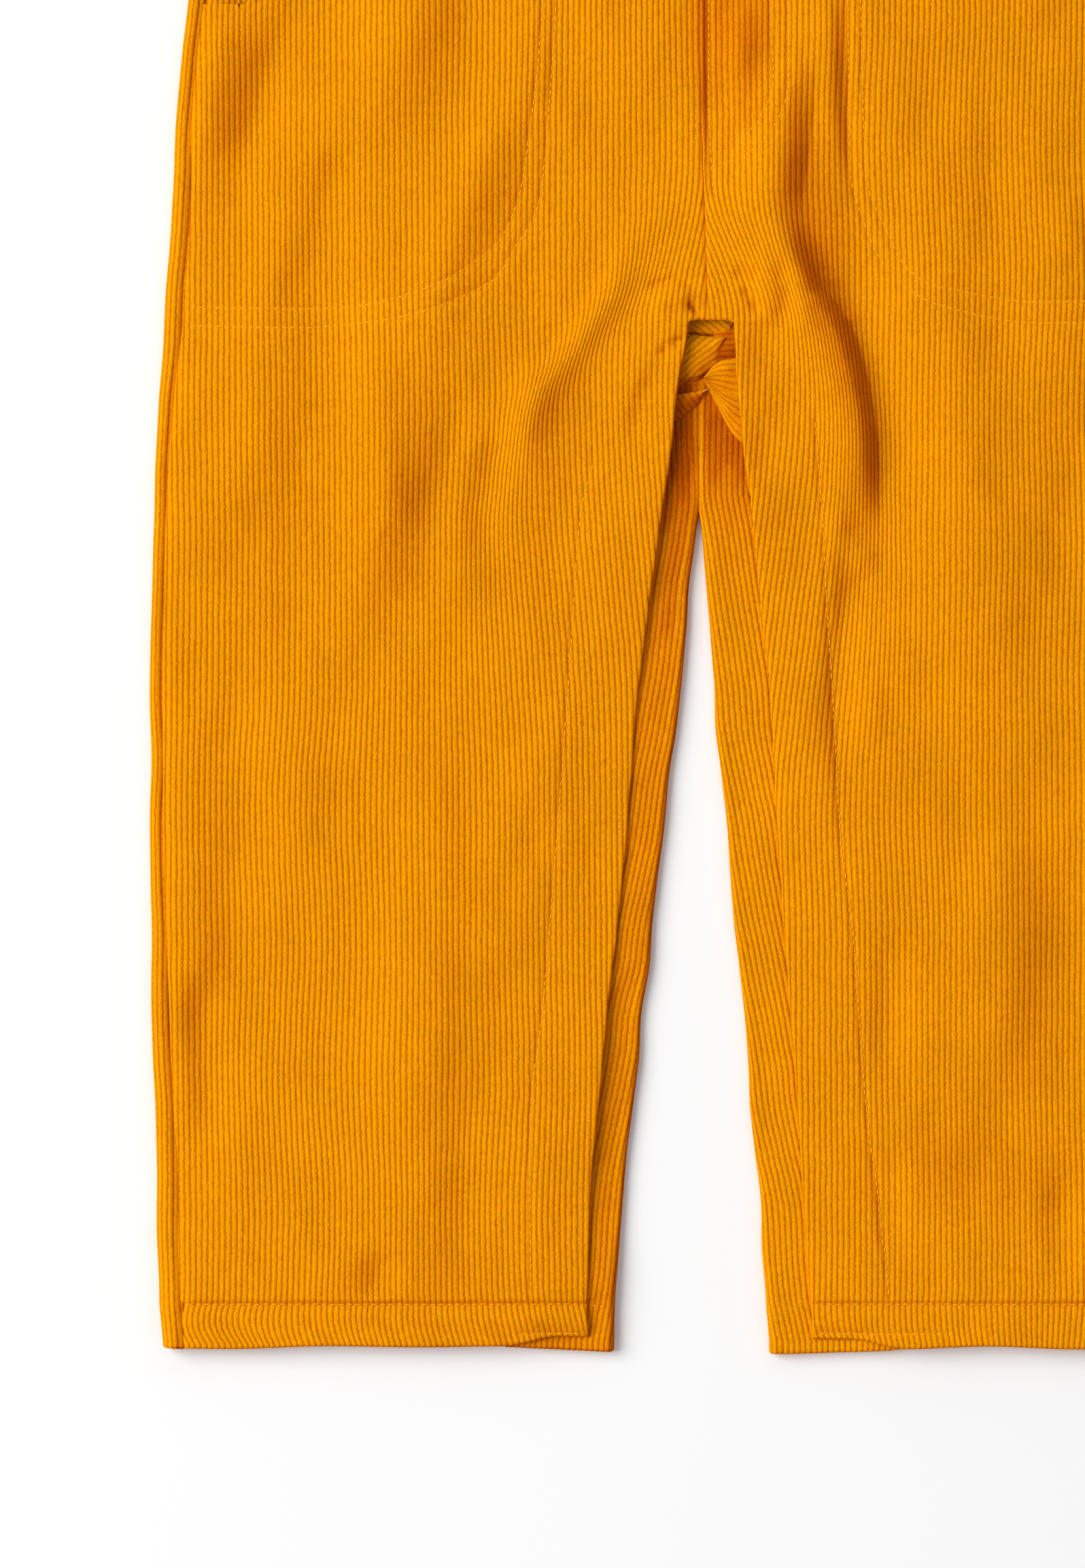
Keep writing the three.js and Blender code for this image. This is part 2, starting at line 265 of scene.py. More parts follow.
def gridMesh(name, points, across, along, lean):
    # a grid through the points; across and along are the same points on the flat cut
    rows, columns = across.shape
    bm = bmesh.new()
    bmesh.ops.create_grid(bm, x_segments=columns - 1, y_segments=rows - 1, size=1)
    mesh = meshFrom(bm, name)
    flat = np.empty(len(mesh.vertices) * 3)
    mesh.vertices.foreach_get("co", flat)
    flat = flat.reshape(-1, 3)
    ix = np.rint((flat[:, 0] + 1) / 2 * (columns - 1)).astype(int)
    iy = np.rint((flat[:, 1] + 1) / 2 * (rows - 1)).astype(int)
    mesh.vertices.foreach_set("co", ((points[iy, ix] + (0, hemY, 0)) * mm).ravel())
    corner = np.empty(len(mesh.loops), dtype=int)
    mesh.loops.foreach_get("vertex_index", corner)
    cut = np.stack([across[iy, ix][corner], along[iy, ix][corner]], axis=1) * mm
    mesh.uv_layers.new(name="cut").data.foreach_set("uv", cut.ravel())
    # the lean attribute carries the painted shade to the material
    mesh.attributes.new(name="lean", type="FLOAT", domain="POINT").data.foreach_set("value", lean[iy, ix])
    mesh.shade_smooth()
    return mesh, iy, ix


def sewCloth(name, across, along, place):
    # cloth whose columns follow the wales; place gives its points, what is kept, and its painted shade
    u, v = np.meshgrid(across, along)
    made = place(u, v)
    normals = gridNormals(made["points"])
    # painted shade: lean is how far the cloth tilts away from the key light, plus the painted shade that
    # place gives
    lean = np.clip(normals @ np.array(cloth["awayFromKey"]), -1, 1) + made.get("deep", 0)
    height = waleHeight(u) * made.get("waleShare", 1)
    mesh, iy, ix = gridMesh(name, made["points"] + normals * height[..., None], u, v, lean)
    bm = bmesh.new()
    bm.from_mesh(mesh)
    bm.verts.ensure_lookup_table()
    gone = [bm.verts[i] for i in np.nonzero(~made["kept"][iy, ix])[0]]
    bmesh.ops.delete(bm, geom=gone, context="VERTS")
    bm.to_mesh(mesh)
    bm.free()
    return mesh


def asObject(name, mesh, material):
    piece = bpy.data.objects.new(name, mesh)
    bpy.context.scene.collection.objects.link(piece)
    mesh.materials.clear()
    mesh.materials.append(material)
    return piece


def roll(over, radius):
    # how far a turned edge goes in along the cloth, and how deep it sinks
    angle = np.clip(over / radius, 0, math.pi)
    forward = np.where(over > 0, radius * np.sin(angle) - np.maximum(over - math.pi * radius, 0), 0)
    sink = np.where(over > 0, radius * (1 - np.cos(angle)), 0)
    return forward, sink


def foldTop(up):
    low, high = cloth["hemBlend"]
    return cloth["hemFold"] + (cloth["fold"] - cloth["hemFold"]) * smooth(up, low, high)


def addNode(tree, kind, inputs, **settings):
    # inputs gives a socket its constant, or the socket that feeds it
    node = tree.nodes.new("ShaderNode" + kind)
    for key, value in settings.items():
        setattr(node, key, value)
    for key, value in inputs.items():
        if isinstance(value, bpy.types.NodeSocket):
            tree.links.new(value, node.inputs[key])
        else:
            node.inputs[key].default_value = value
    return node


def mixColours(tree, factor, low, high, blend="MIX"):
    inputs = {"Factor": factor, 6: low, 7: high}
    return addNode(tree, "Mix", inputs, data_type="RGBA", blend_type=blend).outputs[2]


def makeCorduroyGroup():
    group = bpy.data.node_groups.new("corduroy wales", "ShaderNodeTree")
    sockets = {
        "INPUT": {"Cut": "Vector", "Wales per metre": "Float",
                  "Pile colour": "Color", "Valley shade colour": "Color"},
        "OUTPUT": {"Colour": "Color", "Roughness": "Float", "Height": "Float"},
    }
    for way, named in sockets.items():
        for name, kind in named.items():
            group.interface.new_socket(name, in_out=way, socket_type="NodeSocket" + kind)
    given = group.nodes.new("NodeGroupInput").outputs
    result = group.nodes.new("NodeGroupOutput").inputs
    place = addNode(group, "TexCoord", {}).outputs["Object"]

    def calc(operation, *inputs):
        return addNode(group, "Math", dict(enumerate(inputs)), operation=operation).outputs[0]

    def noise(scale, detail, roughness=0.5):
        inputs = {"Vector": place, "Scale": scale, "Detail": detail, "Roughness": roughness}
        return addNode(group, "TexNoise", inputs).outputs["Fac"]

    def vary(colour, source, low, high):
        inputs = {"Value": source, "From Min": 0.3, "From Max": 0.7, "To Min": low, "To Max": high}
        spread = addNode(group, "MapRange", inputs).outputs[0]
        return addNode(group, "VectorMath", {0: colour, "Scale": spread}, operation="SCALE").outputs[0]

    # the distance from a valley, which wanders a little
    across = addNode(group, "SeparateXYZ", {0: given["Cut"]}).outputs["X"]
    count = calc("MULTIPLY", across, given["Wales per metre"])
    shifted = calc("MULTIPLY_ADD", noise(900, 1), cloth["ragged"], count)
    away = calc("PINGPONG", calc("SUBTRACT", shifted, cloth["ragged"] / 2), 0.5)
    inputs = {"Value": away, "From Max": cloth["valley"]}
    rise = addNode(group, "MapRange", inputs, interpolation_type="SMOOTHERSTEP").outputs[0]

    # painted shade: the valleys are mixed towards the darker valley colour
    colour = mixColours(group, rise, given["Valley shade colour"], given["Pile colour"])
    tufts = noise(*cloth["tufts"][:2], 0.7)
    colour = vary(colour, tufts, *cloth["tufts"][2:])
    colour = vary(colour, noise(*cloth["streaks"][:2]), *cloth["streaks"][2:])
    colour = vary(colour, noise(*cloth["clouds"][:2]), *cloth["clouds"][2:])
    group.links.new(colour, result["Colour"])
    rough = addNode(group, "MapRange", {"Value": rise, "To Min": 0.98, "To Max": 0.84}).outputs[0]
    group.links.new(rough, result["Roughness"])
    group.links.new(calc("MULTIPLY_ADD", tufts, 0.5, rise), result["Height"])
    return group


corduroyGroup = makeCorduroyGroup()


def newMaterial(name):
    material = bpy.data.materials.new(name)
    material.use_nodes = True
    return material, material.node_tree, material.node_tree.nodes["Principled BSDF"].inputs


def corduroyMaterial(name):
    material, tree, shader = newMaterial(name)
    cut = addNode(tree, "UVMap", {}, uv_map="cut").outputs[0]
    inputs = {"Cut": cut, "Wales per metre": 1 / (cloth["pitch"] * mm),
              "Pile colour": cloth["pileColour"], "Valley shade colour": cloth["valleyShadeColour"]}
    wales = addNode(tree, "Group", inputs, node_tree=corduroyGroup).outputs
    lean = addNode(tree, "Attribute", {}, attribute_name="lean").outputs["Fac"]
    colour = wales["Colour"]
    # painted shade: darker and redder where the cloth tilts away from the key light
    for low, high, tint in cloth["shadeTints"]:
        share = addNode(tree, "MapRange", {"Value": lean, "From Min": low, "From Max": high}).outputs[0]
        colour = mixColours(tree, share, colour, tint, "MULTIPLY")
    # the wrong side of the cloth is plain, paler and without pile
    wrongSide = addNode(tree, "NewGeometry", {}).outputs["Backfacing"]
    colour = mixColours(tree, wrongSide, colour, cloth["backColour"])
    bump = addNode(tree, "Bump", {"Strength": 0.55, "Distance": 0.00022, "Height": wales["Height"]})
    tree.links.new(colour, shader["Base Color"])
    tree.links.new(wales["Roughness"], shader["Roughness"])
    tree.links.new(bump.outputs[0], shader["Normal"])
    shader["Sheen Weight"].default_value = 0.05
    shader["Sheen Roughness"].default_value = 0.5
    shader["Sheen Tint"].default_value = (1, 0.45, 0, 1)
    shader["Specular IOR Level"].default_value = 0.015
    return material


mottled = {
    "sewing thread": {"dark": (0.85, 0.335, 0.006, 1), "light": (0.94, 0.42, 0.025, 1), "roughness": 0.8,
                      "shine": 0.08, "noise": {"Scale": 2500, "Detail": 1}},
    "button resin": {"dark": (0.09, 0.035, 0.012, 1), "light": (0.24, 0.105, 0.035, 1), "roughness": 0.38,
                     "shine": 0.5, "noise": {"Scale": 180, "Detail": 4, "Distortion": 1.6}},
}


def mottledMaterial(name):
    look = mottled[name]
    material, tree, shader = newMaterial(name)
    place = addNode(tree, "TexCoord", {}).outputs["Object"]
    noise = addNode(tree, "TexNoise", {"Vector": place, **look["noise"]}).outputs["Fac"]
    tree.links.new(mixColours(tree, noise, look["dark"], look["light"]), shader["Base Color"])
    shader["Roughness"].default_value = look["roughness"]
    shader["Specular IOR Level"].default_value = look["shine"]
    return material


corduroy = corduroyMaterial("mustard corduroy")
thread = mottledMaterial("sewing thread")
resin = mottledMaterial("button resin")
print("materials made")


studio = {
    "floorColour": (0.885, 0.885, 0.885, 1),
    "floorGlow": 0.02,
    "floorSize": 12,
    "ambient": 0.46,
    "keyPower": 272,
    "keySize": 4.3,
    "keyDistance": 5,
    "keyAim": (-0.05, -0.12, 0),
    "keyHeight": 43,  # degrees above the floor
    "keyTurn": 14,  # degrees round from the left towards the waist
}
bm = bmesh.new()
bmesh.ops.create_grid(bm, x_segments=1, y_segments=1, size=studio["floorSize"] / 2)
floorMaterial, _, floorShader = newMaterial("pale floor")
floorShader["Base Color"].default_value = studio["floorColour"]
floorShader["Roughness"].default_value = 0.9
floorShader["Emission Color"].default_value = (1, 1, 1, 1)
floorShader["Emission Strength"].default_value = studio["floorGlow"]
floorShader["Specular IOR Level"].default_value = 0.1
floor = asObject("studio_floor", meshFrom(bm, "studio_floor"), floorMaterial)

world = bpy.data.worlds.new("studio")
world.use_nodes = True
background = world.node_tree.nodes["Background"].inputs
background["Color"].default_value = (1, 1, 1, 1)
background["Strength"].default_value = studio["ambient"]
bpy.context.scene.world = world
bpy.context.scene.view_settings.view_transform = "Standard"

keyData = bpy.data.lights.new("key", "AREA")
keyData.shape = "DISK"
keyData.energy = studio["keyPower"]
keyData.size = studio["keySize"]
key = bpy.data.objects.new("key", keyData)
keyUp, keyRound = math.radians(studio["keyHeight"]), math.radians(studio["keyTurn"])
keyLevel = math.cos(keyUp)
keyWay = Vector((-keyLevel * math.cos(keyRound), keyLevel * math.sin(keyRound), math.sin(keyUp)))
key.location = Vector(studio["keyAim"]) + keyWay * studio["keyDistance"]
key.rotation_euler = keyWay.to_track_quat("Z", "Y").to_euler()
bpy.context.scene.collection.objects.link(key)
print("studio set")


frontShape = {
    "crown": 1.1,
    "creaseGain": 2.0,
    "crotch": 365,
    "flyPath": [(3.5, 340), (3.7, 372), (3.1, 392), (2.6, 410), (1.2, 440), (1.0, 482), (1.0, 575)],
    "arch": [(-8, 360.5), (-5.2, 361), (-4.0, 362.6), (-1.2, 366.2), (0.5, 367.3), (4.3, 366.7),
             (9.4, 365.4), (12.4, 363.3), (13.4, 359.5), (18, 358)],
    "underlap": 6,  # left front under the right one at the fly
    "underlapStart": 375,
    "scoop": [(178, 481), (160, 482.5), (145, 487), (133, 495), (124, 510), (118, 530), (113, 575)],
    "hemRise": 3.6,
    # where the crotch stands up: height, across and up, half widths across, above and below
    "puff": (4.8, 3, 372, 40, 44, 62),
    "swells": (1.5, 0.45, 1.5),  # waves of the cloth: middling, fine and broad
    "dips": {"seam": 0.5, "belowStitches": 0.55, "corner": 0.9, "fly": 2.4},
    # patches of painted shade where the cloth looks darker, as in troughs beside fold walls and along the
    # fly's lapped edge: middle, half sizes and how much
    "shadePatches": [(13, 470, 15, 44, 0.52), (51, 350, 9, 30, 0.26), (1.7, 472, 1.2, 75, 0.75),
               (36, 425, 5, 28, 0.1), (51, 470, 3, 60, 0.07), (40, 402, 10, 28, 0.24),
               (30, 384, 8, 16, 0.1), (-176, 60, 7, 40, 0.14), (-100, 20, 60, 14, 0.08),
               (-110, 330, 14, 50, 0.08), (96, 60, 50, 18, 0.1)],
    # how far the hem's wales lean and bow, along the hem
    "hemSlew": [(-190, 1.0), (-165, 2.8), (-120, 2.0), (-80, 2.6), (-45, 3.4), (40, 2.2), (90, 0.6),
                (140, -1.4), (185, -2.2)],
    "hemBow": [(-190, -2.2), (-165, -2.2), (-140, -1.0), (-80, -0.4), (-45, 0.4), (40, -0.8), (110, -0.4),
               (185, 1.2)],
}

# Creases, from the waist down: height, half widths to the left and to the right, and a path as (across, up).
frontCreases = {
    "left": [
        (1.0, 6, 7, [(-22, 404), (-30, 380), (-38.5, 368), (-51, 350), (-61, 334), (-70, 311)]),
        (-0.5, 6, 4, [(-30, 396), (-38, 378), (-47, 364), (-60, 347)]),
        (0.7, 9, 9, [(-62, 360), (-60, 340), (-61, 302)]),
        (-0.8, 7, 7, [(-70, 330), (-76, 305), (-76, 277)]),
        (-0.7, 9, 7, [(-84, 345), (-90, 318), (-99, 290)]),
        (0.9, 6, 9, [(-170, 480), (-174, 455), (-180, 424)]),
        (-0.9, 8, 8, [(-146, 476), (-157, 445), (-165, 418)]),
        (0.9, 11, 11, [(-90, 488), (-110, 462), (-126, 443), (-146, 414), (-153, 380), (-156, 350)]),
        (0.8, 10, 10, [(-56, 478), (-68, 448), (-78, 424), (-92, 385), (-98, 348)]),
        (0.9, 11, 11, [(-118, 360), (-113, 311), (-116, 262)]),
        (-0.8, 6, 9, [(-174, 135), (-178, 110), (-173, 66)]),
        (0.7, 16, 16, [(-100, 230), (-96, 180), (-104, 120), (-98, 70)]),
        (0.6, 14, 14, [(-150, 250), (-148, 180), (-152, 110)]),
        (-0.8, 1.3, 1.8, [(1, 378.6), (-4, 380.8), (-9, 381.8), (-15, 380.2), (-20.5, 377.6)], "sharp"),
        (0.7, 4, 4, [(-2, 375), (-10, 376), (-18, 372.5)]),
        (-0.9, 1.4, 1.4, [(-3.2, 361.5), (-9, 358.8), (-16.5, 354)], "sharp"),
        (-1.1, 0.9, 0.9, [(-3.7, 373.4), (-1.6, 370.6), (0.5, 368.3)]),
        (-0.5, 4, 4, [(-12, 352), (-20, 340), (-24, 322)]),
        (-0.8, 7, 7, [(-113, 34), (-115, 24), (-114, 16)]),
    ],
    "right": [
        (3.3, 14, 7.5, [(18, 411), (26, 400), (30.3, 393), (33.8, 386), (38, 379), (42.9, 372),
                        (47, 365), (52, 351), (55.6, 337), (57, 323), (57.7, 309), (58, 288)]),
        (-1.4, 7, 9, [(36, 402), (38.7, 393), (41.5, 386), (44.3, 379), (50.6, 372), (55, 365),
                      (59.8, 351), (62.5, 337), (64.5, 323), (65, 309), (65, 285)], "sharp"),
        (1.1, 11, 9, [(31, 462), (30, 432), (27, 402)]),
        (-0.5, 5, 8, [(43, 470), (41.5, 445), (38.5, 420), (36, 404)], "sharp"),
        (0.5, 8, 7, [(12, 488), (12, 455), (14, 428)]),
        (-0.1, 6, 5, [(26, 488), (26, 455), (24, 432)]),
        (0.6, 6, 5, [(45, 488), (46, 455), (49, 420)]),
        (1.5, 17, 22, [(74, 400), (84, 365), (95, 325), (99, 280), (98, 225)]),
        (1.1, 5, 5, [(45, 300), (51, 290), (58, 283), (66, 279)]),
        (-0.9, 5, 6, [(52, 300), (54, 275), (50, 235), (54, 188)]),
        (0.6, 6, 6, [(60, 240), (64, 215)]),
        (-0.8, 7, 7, [(70, 150), (69, 125), (66, 95)]),
        (-0.7, 6, 6, [(70, 72), (69, 50), (70, 30)]),
        (-0.7, 7, 7, [(131, 64), (130, 40), (131, 18)]),
        (-0.6, 5, 5, [(100, 311), (116, 300), (136, 286)]),
        (-0.6, 3, 3, [(55, 276), (62, 268), (70, 263)]),
        (-0.9, 1.4, 1.4, [(12, 384.6), (17, 383), (23, 383.6)], "sharp"),
        (-0.7, 2, 2, [(15, 379), (18.5, 375.5), (21.5, 369)]),
        (-0.8, 4, 4, [(27, 392), (31, 376), (30, 362)]),
        (-0.4, 5, 5, [(12, 488), (9, 460), (7, 432)]),
        (-0.5, 3, 3, [(52, 488), (52.5, 450), (56, 408)]),
        (0.9, 18, 18, [(120, 460), (128, 410), (131, 350), (126, 290)]),
        (-0.6, 14, 12, [(160, 440), (163, 380), (160, 310)]),
        (0.8, 16, 16, [(110, 200), (104, 140), (108, 84)]),
        (0.6, 16, 16, [(150, 230), (152, 160), (146, 90)]),
    ],
}

# The crotch seam draws the wales out sideways, and they crowd together along the drag folds: the fold's
# line, how far the wales are drawn, and the half width of the crowding.
drags = {
    "left": {"path": [(-8, 425), (-14, 400), (-19, 388), (-26.9, 376), (-35, 366.5), (-43.2, 357.3),
                      (-51.4, 348.6), (-57.3, 342), (-62.8, 334), (-67, 322), (-73, 295), (-77, 260),
                      (-80, 200)],
             "pull": 8, "half": 17, "start": 424, "full": 366, "gone": 215},
    "right": {"path": [(8, 425), (16, 409), (25, 397), (34.5, 380), (45.5, 360), (54, 336), (59, 299),
                       (61, 260), (60, 200)],
              "pull": 14.5, "half": 26, "start": 420, "full": 366, "gone": 185},
}

# Rows of stitches, as (across, up).
stitchRows = {
    "left": {
        "pocket upper": [(-183, 372), (-153, 371.5), (-126, 372), (-109.5, 375), (-93, 380.5),
                         (-80, 388.5), (-70, 398), (-63.7, 414.6), (-60.5, 436.6), (-57.8, 457),
                         (-56, 482), (-55, 520), (-55, 570)],
        "pocket lower": [(-183, 365.4), (-150, 364.6), (-126, 365.6), (-104, 369), (-87.6, 374.4),
                         (-73.4, 382), (-66, 393), (-58.3, 406), (-55.6, 421), (-54, 438.5),
                         (-51.2, 482), (-50, 520), (-50, 570)],
        "facing": [(-37.8, 316), (-42.7, 294.6), (-46.5, 240), (-51, 180), (-56, 120), (-60.2, 83),
                   (-60.2, 17)],
        "facing foot": [(-63.7, 4), (-41, 4)],
        "crotch": [(2.7, 411), (3.2, 392), (3.6, 374)],
    },
    "right": {
        "pocket upper": [(56.5, 570), (57, 520), (58, 482), (59.3, 433.4), (60.7, 415.4), (67.8, 398.5),
                         (73.4, 387.3), (81.7, 380.5), (94, 377.6), (115, 374), (138.5, 374),
                         (186, 374.5)],
        "pocket lower": [(51, 570), (52, 520), (53.4, 482), (53.9, 440.5), (54.4, 419.5), (59.3, 402.7),
                         (63.7, 391.7), (70.5, 382), (80.2, 375), (93, 370.7), (115, 366.6), (138.5, 366.3),
                         (186, 367)],
        "fly inner": [(25.6, 570), (25.6, 482), (26.6, 453), (22.9, 442), (16.3, 433.4), (6.6, 430)],
        "fly outer": [(32, 570), (32, 482), (32.2, 462.7), (31.5, 447.6), (26, 435.6), (16.3, 426),
                      (6.6, 422.7)],
        "fly edge": [(3.6, 570), (3.6, 482), (3.8, 440), (5.2, 412)],
        "facing": [(41.5, 331), (44.4, 297), (46, 265.6), (48.8, 222), (51, 179), (55, 151), (60, 86),
                   (64, 56), (68.3, 17)],
        "facing foot": [(43, 4), (66, 3.8), (89.5, 4)],
    },
}
pressed = {"depth": 0.4, "half": 0.95}
hemStitchUp = 14.6


def pathAt(path, column, value):
    # one coordinate of a listed path, read by the other one
    points = np.array(sorted(path, key=lambda p: p[column]))
    return np.interp(value, points[:, column], points[:, 1 - column])


def frontEnd(side, up):
    # across, signed: the front panel's edge towards the middle
    fly = pathAt(frontShape["flyPath"], 1, up)
    leg = side["sign"] * side["edge"](up)
    if side["sign"] < 0:
        start = frontShape["underlapStart"]
        fly = fly + frontShape["underlap"] * smooth(up, start - 5, start)
    return np.where(up > frontShape["crotch"] + 1, fly, leg)


def hemWave(x):
    return 0.8 * softNoise(x, np.asarray(x) * 0, 34, 24)


def frontHem(side, x):
    # the hem line, which lifts at the inner corner
    near = (side["edge"](0) + 30 - side["sign"] * x) / 30
    return frontShape["hemRise"] * smooth(near, -0.1, 0.65) + hemWave(x)


def frontLift(side, x, up):
    # height of a front panel above the floor, without its wales
    out = side["sign"] * x
    seam = side["seam"](up)
    leg = np.where(up > frontShape["crotch"], 0, side["edge"](np.minimum(up, frontShape["crotch"])))
    share = np.clip((out - leg) / np.maximum(seam - leg, 1), 0, 1)
    z = foldTop(up) + frontShape["crown"] * np.sin(math.pi * share) ** 0.7
    height, puffAcross, puffUp, half, above, below = frontShape["puff"]
    away = (up - puffUp) / np.where(up > puffUp, above, below)
    z = z + height * np.exp(-((x - puffAcross) / half) ** 2 - away ** 2)
    z = z + frontShape["creaseGain"] * creaseLift(frontCreases[side["name"]], x, up)
    calm = smooth(up, 6, 40)
    middle, fine, broad = frontShape["swells"]
    swell = middle * softNoise(x, up * 0.4, 27, 11) + fine * softNoise(x, up * 0.6, 12, 12)
    swell = swell + broad * softNoise(x + 0.3 * up, up * 0.5, 52, 15)
    # it never sags onto the layer beneath beside an edge
    free = smooth(out - leg, 4, 32) * smooth(seam - out, 2, 24)
    z = z + calm * np.where(swell < 0, swell * (0.2 + 0.8 * free), swell)
    z = z + 0.10 * softNoise(x * 0.6, up, 4.5, 13)
    # the hem ropes a little, because its turned layers pull askew
    rope = bumpAt(up, 7, 6)
    z = z + rope * 0.5 * softNoise(x + 1.1 * up, up * 0.3, 8, 14)
    dips = frontShape["dips"]
    z = z - dips["seam"] * bumpAt(seam, out, 1.6)
    # the hem's thick band starts below its stitches
    z = z - dips["belowStitches"] * bumpAt(up - hemStitchUp, -1.6, 1.5)
    z = z - dips["corner"] * bumpAt(out - side["edge"](0), 8, 16) * bumpAt(up, 3, 3.5)
    if side["sign"] < 0:
        # the left front passes under the right one at the fly
        fly = pathAt(frontShape["flyPath"], 1, up)
        start = frontShape["underlapStart"]
        z = z - dips["fly"] * smooth(x - fly, -0.5, 1.8) * smooth(up, start - 6, start + 2)
    return z


def pressRows(side, x, up):
    press = np.zeros(x.shape)
    for name, path in stitchRows[side["name"]].items():
        points = curveThrough(path, 5)
        low, high = points.min(axis=0) - 4, points.max(axis=0) + 4
        near = (x > low[0]) & (x < high[0]) & (up > low[1]) & (up < high[1])
        away, _, _ = nearPath(points, x[near], up[near])
        share = 1.4 if name == "facing" and side["sign"] > 0 else 0.9
        press[near] = np.maximum(press[near], share * bumpAt(away, 0, pressed["half"]))
    hem = bumpAt(up, hemStitchUp, 0.9)
    return np.maximum(press, 1.7 * hem)


def dragShift(side, u, up):
    drag = drags[side["name"]]
    points = curveThrough(drag["path"], 6)
    amount = drag["pull"] * smooth(-up, -drag["start"], -drag["full"])
    amount = amount * smooth(up, drag["gone"], drag["full"] - 20)
    centre = side["sign"] * pathAt([tuple(p) for p in points], 1, up) - amount / 2
    inside = 1 - smooth(side["sign"] * u, centre - drag["half"], centre + drag["half"])
    return side["sign"] * amount * inside


def frontPlace(side):
    sign = side["sign"]

    def place(u, v):
        hem = frontHem(side, u)
        over = hem - v  # beyond the hem line
        up = np.maximum(v, hem)
        wander = 1.1 * softNoise(u * 0.7, up, 48, 21) + 0.16 * softNoise(u, up, 9, 22)
        # the hem's wales lean and bow, because its turned layer was sewn a little askew
        below = np.clip((hemStitchUp - v) / hemStitchUp, 0, 1)
        slew = pathAt(frontShape["hemSlew"], 0, u) + 0.9 * softNoise(u, u * 0, 22, 23)
        bow = pathAt(frontShape["hemBow"], 0, u)
        jog = 0.5 * bumpAt(v, hemStitchUp, 3) * softNoise(u, u * 0, 30, 25)
        x = u + wander + dragShift(side, u, up) + slew * below + bow * np.sin(math.pi * below) + jog
        overHem, sinkHem = roll(over, cloth["hemRoll"])
        # beyond the side seam or the inner edge
        wavy = 0.35 * softNoise(up, up * 0, 15, 31 + sign) + 0.2 * softNoise(up, up * 0, 5, 33 + sign)
        outerEdge = side["seam"](up)
        scoopOut = pathAt(frontShape["scoop"], 1, up)
        outerEdge = np.where(up > frontShape["scoop"][0][1], scoopOut, outerEdge)
        arch = pathAt(frontShape["arch"], 0, x) + 0.5 * softNoise(x, x * 0, 2.6, 35)
        end = frontEnd(side, up)
        beyondOuter = sign * x - outerEdge
        beyondFly = sign * (end - x)
        beyondLeg = sign * (sign * side["edge"](up) + wavy - x)
        belowArch = arch - up
        # in the notch under the crotch only the nearer edge turns
        inNotch = (belowArch > 0) & (beyondLeg > 0)
        useArch = inNotch & (belowArch < beyondLeg)
        beyondInner = np.where((belowArch > 0) & ~useArch, beyondLeg, beyondFly)
        beyondArch = np.where(useArch, belowArch, -99.0)
        beyond = np.maximum(beyondOuter, beyondInner)
        forward, sink = roll(beyond, cloth["edgeRoll"])
        edgeX = np.where(beyondOuter > beyondInner, sign * outerEdge, x + sign * beyondInner)
        inward = np.where(beyondOuter > beyondInner, sign, -sign)
        rolledX = np.where(beyond > 0, edgeX + inward * forward, x)
        forwardArch, sinkArch = roll(beyondArch, cloth["edgeRoll"])
        y = np.where(beyondArch > 0, arch - forwardArch, up)
        y = np.where(over > 0, hem - overHem, y)
        onCloth = np.where(beyond > 0, edgeX, x)
        z = frontLift(side, onCloth, np.where(beyondArch > 0, arch, up))
        press = pressRows(side, onCloth, y)
        z = z - pressed["depth"] * press - sink - sinkHem - sinkArch
        kept = (beyond < cloth["edgeKept"]) & (beyondArch < cloth["edgeKept"])
        kept &= over < cloth["hemTurn"] + math.pi * cloth["hemRoll"]
        kept &= ~((beyond > 1.5) & (over > 2.5))
        # painted shade: the patches of shade, plus a little random blotching of the tone
        deep = 0.06 * softNoise(x, up * 0.6, 42, 26)
        for atX, atUp, halfX, halfUp, amount in frontShape["shadePatches"]:
            deep = deep + amount * np.exp(-((x - atX) / halfX) ** 2 - ((up - atUp) / halfUp) ** 2)
        return {"points": np.stack([rolledX, y, z], axis=2), "kept": kept, "deep": deep,
                "waleShare": 1 - 0.5 * np.minimum(press, 1)}

    return place


hemRows = [(-16.8, -4, 2.6), (-4, 5, 0.6), (5, 12, 1.75), (12, 17, 0.5), (17, 39.4, 3.2)]
frontRows = steppedRows(*hemRows, (39.4, 320, 4.6), (320, 359, 2.6), (359, 386, 1.15), (386, 424, 2.5),
                        (424, 476, 4.2), (476, 500, 1.6), (500, 581, 5.0))
fronts = {}
for name, side in sides.items():
    low, high = (-200, 22) if side["sign"] < 0 else (-24, 200)
    basic = frontPlace(side)

    def place(u, v, basic=basic, side=side):
        made = basic(u, np.minimum(v, waistTop))
        over = v - waistTop
        forward, sink = roll(over, cloth["edgeRoll"])
        made["points"][..., 1] += np.where(over > 0, forward, 0)
        made["points"][..., 2] -= sink
        made["kept"] &= over < 5
        return made

    mesh = sewCloth("front_" + name + "_cloth", waleColumns(low, high), frontRows, place)
    fronts[name] = asObject("front_" + name + "_cloth", mesh, corduroy)
print("fronts sewn")


# The back panels wrap round the sides and show along the inner legs.
backShape = {
    "hemDrop": 1.7,  # towards the inner corner
    "hemCorner": 45,  # over this much of the hem
    # towards the crotch the inner edge unrolls: up, degrees turned over, and what laps beyond the turn
    "unroll": [(315, 180, None), (340, 180, 12), (358, 180, 6), (364, 180, 0.6), (368, 135, 0.6),
               (372, 90, 0.6), (376, 45, 0.6), (380, 8, 0.6)],
    "tuck": 9,  # under the front panel's inner edge
    "hemTuck": 30,  # the same at the hem
    "welt": 0.3,
    "lean": {"left": 0.55, "right": 0.45},  # how far the strip's wales follow its edge
}


def underTop(up):
    return foldTop(up) - cloth["layer"] - (cloth["hemFold"] - cloth["fold"]) * 0.2 * (1 - smooth(up, 10, 20))


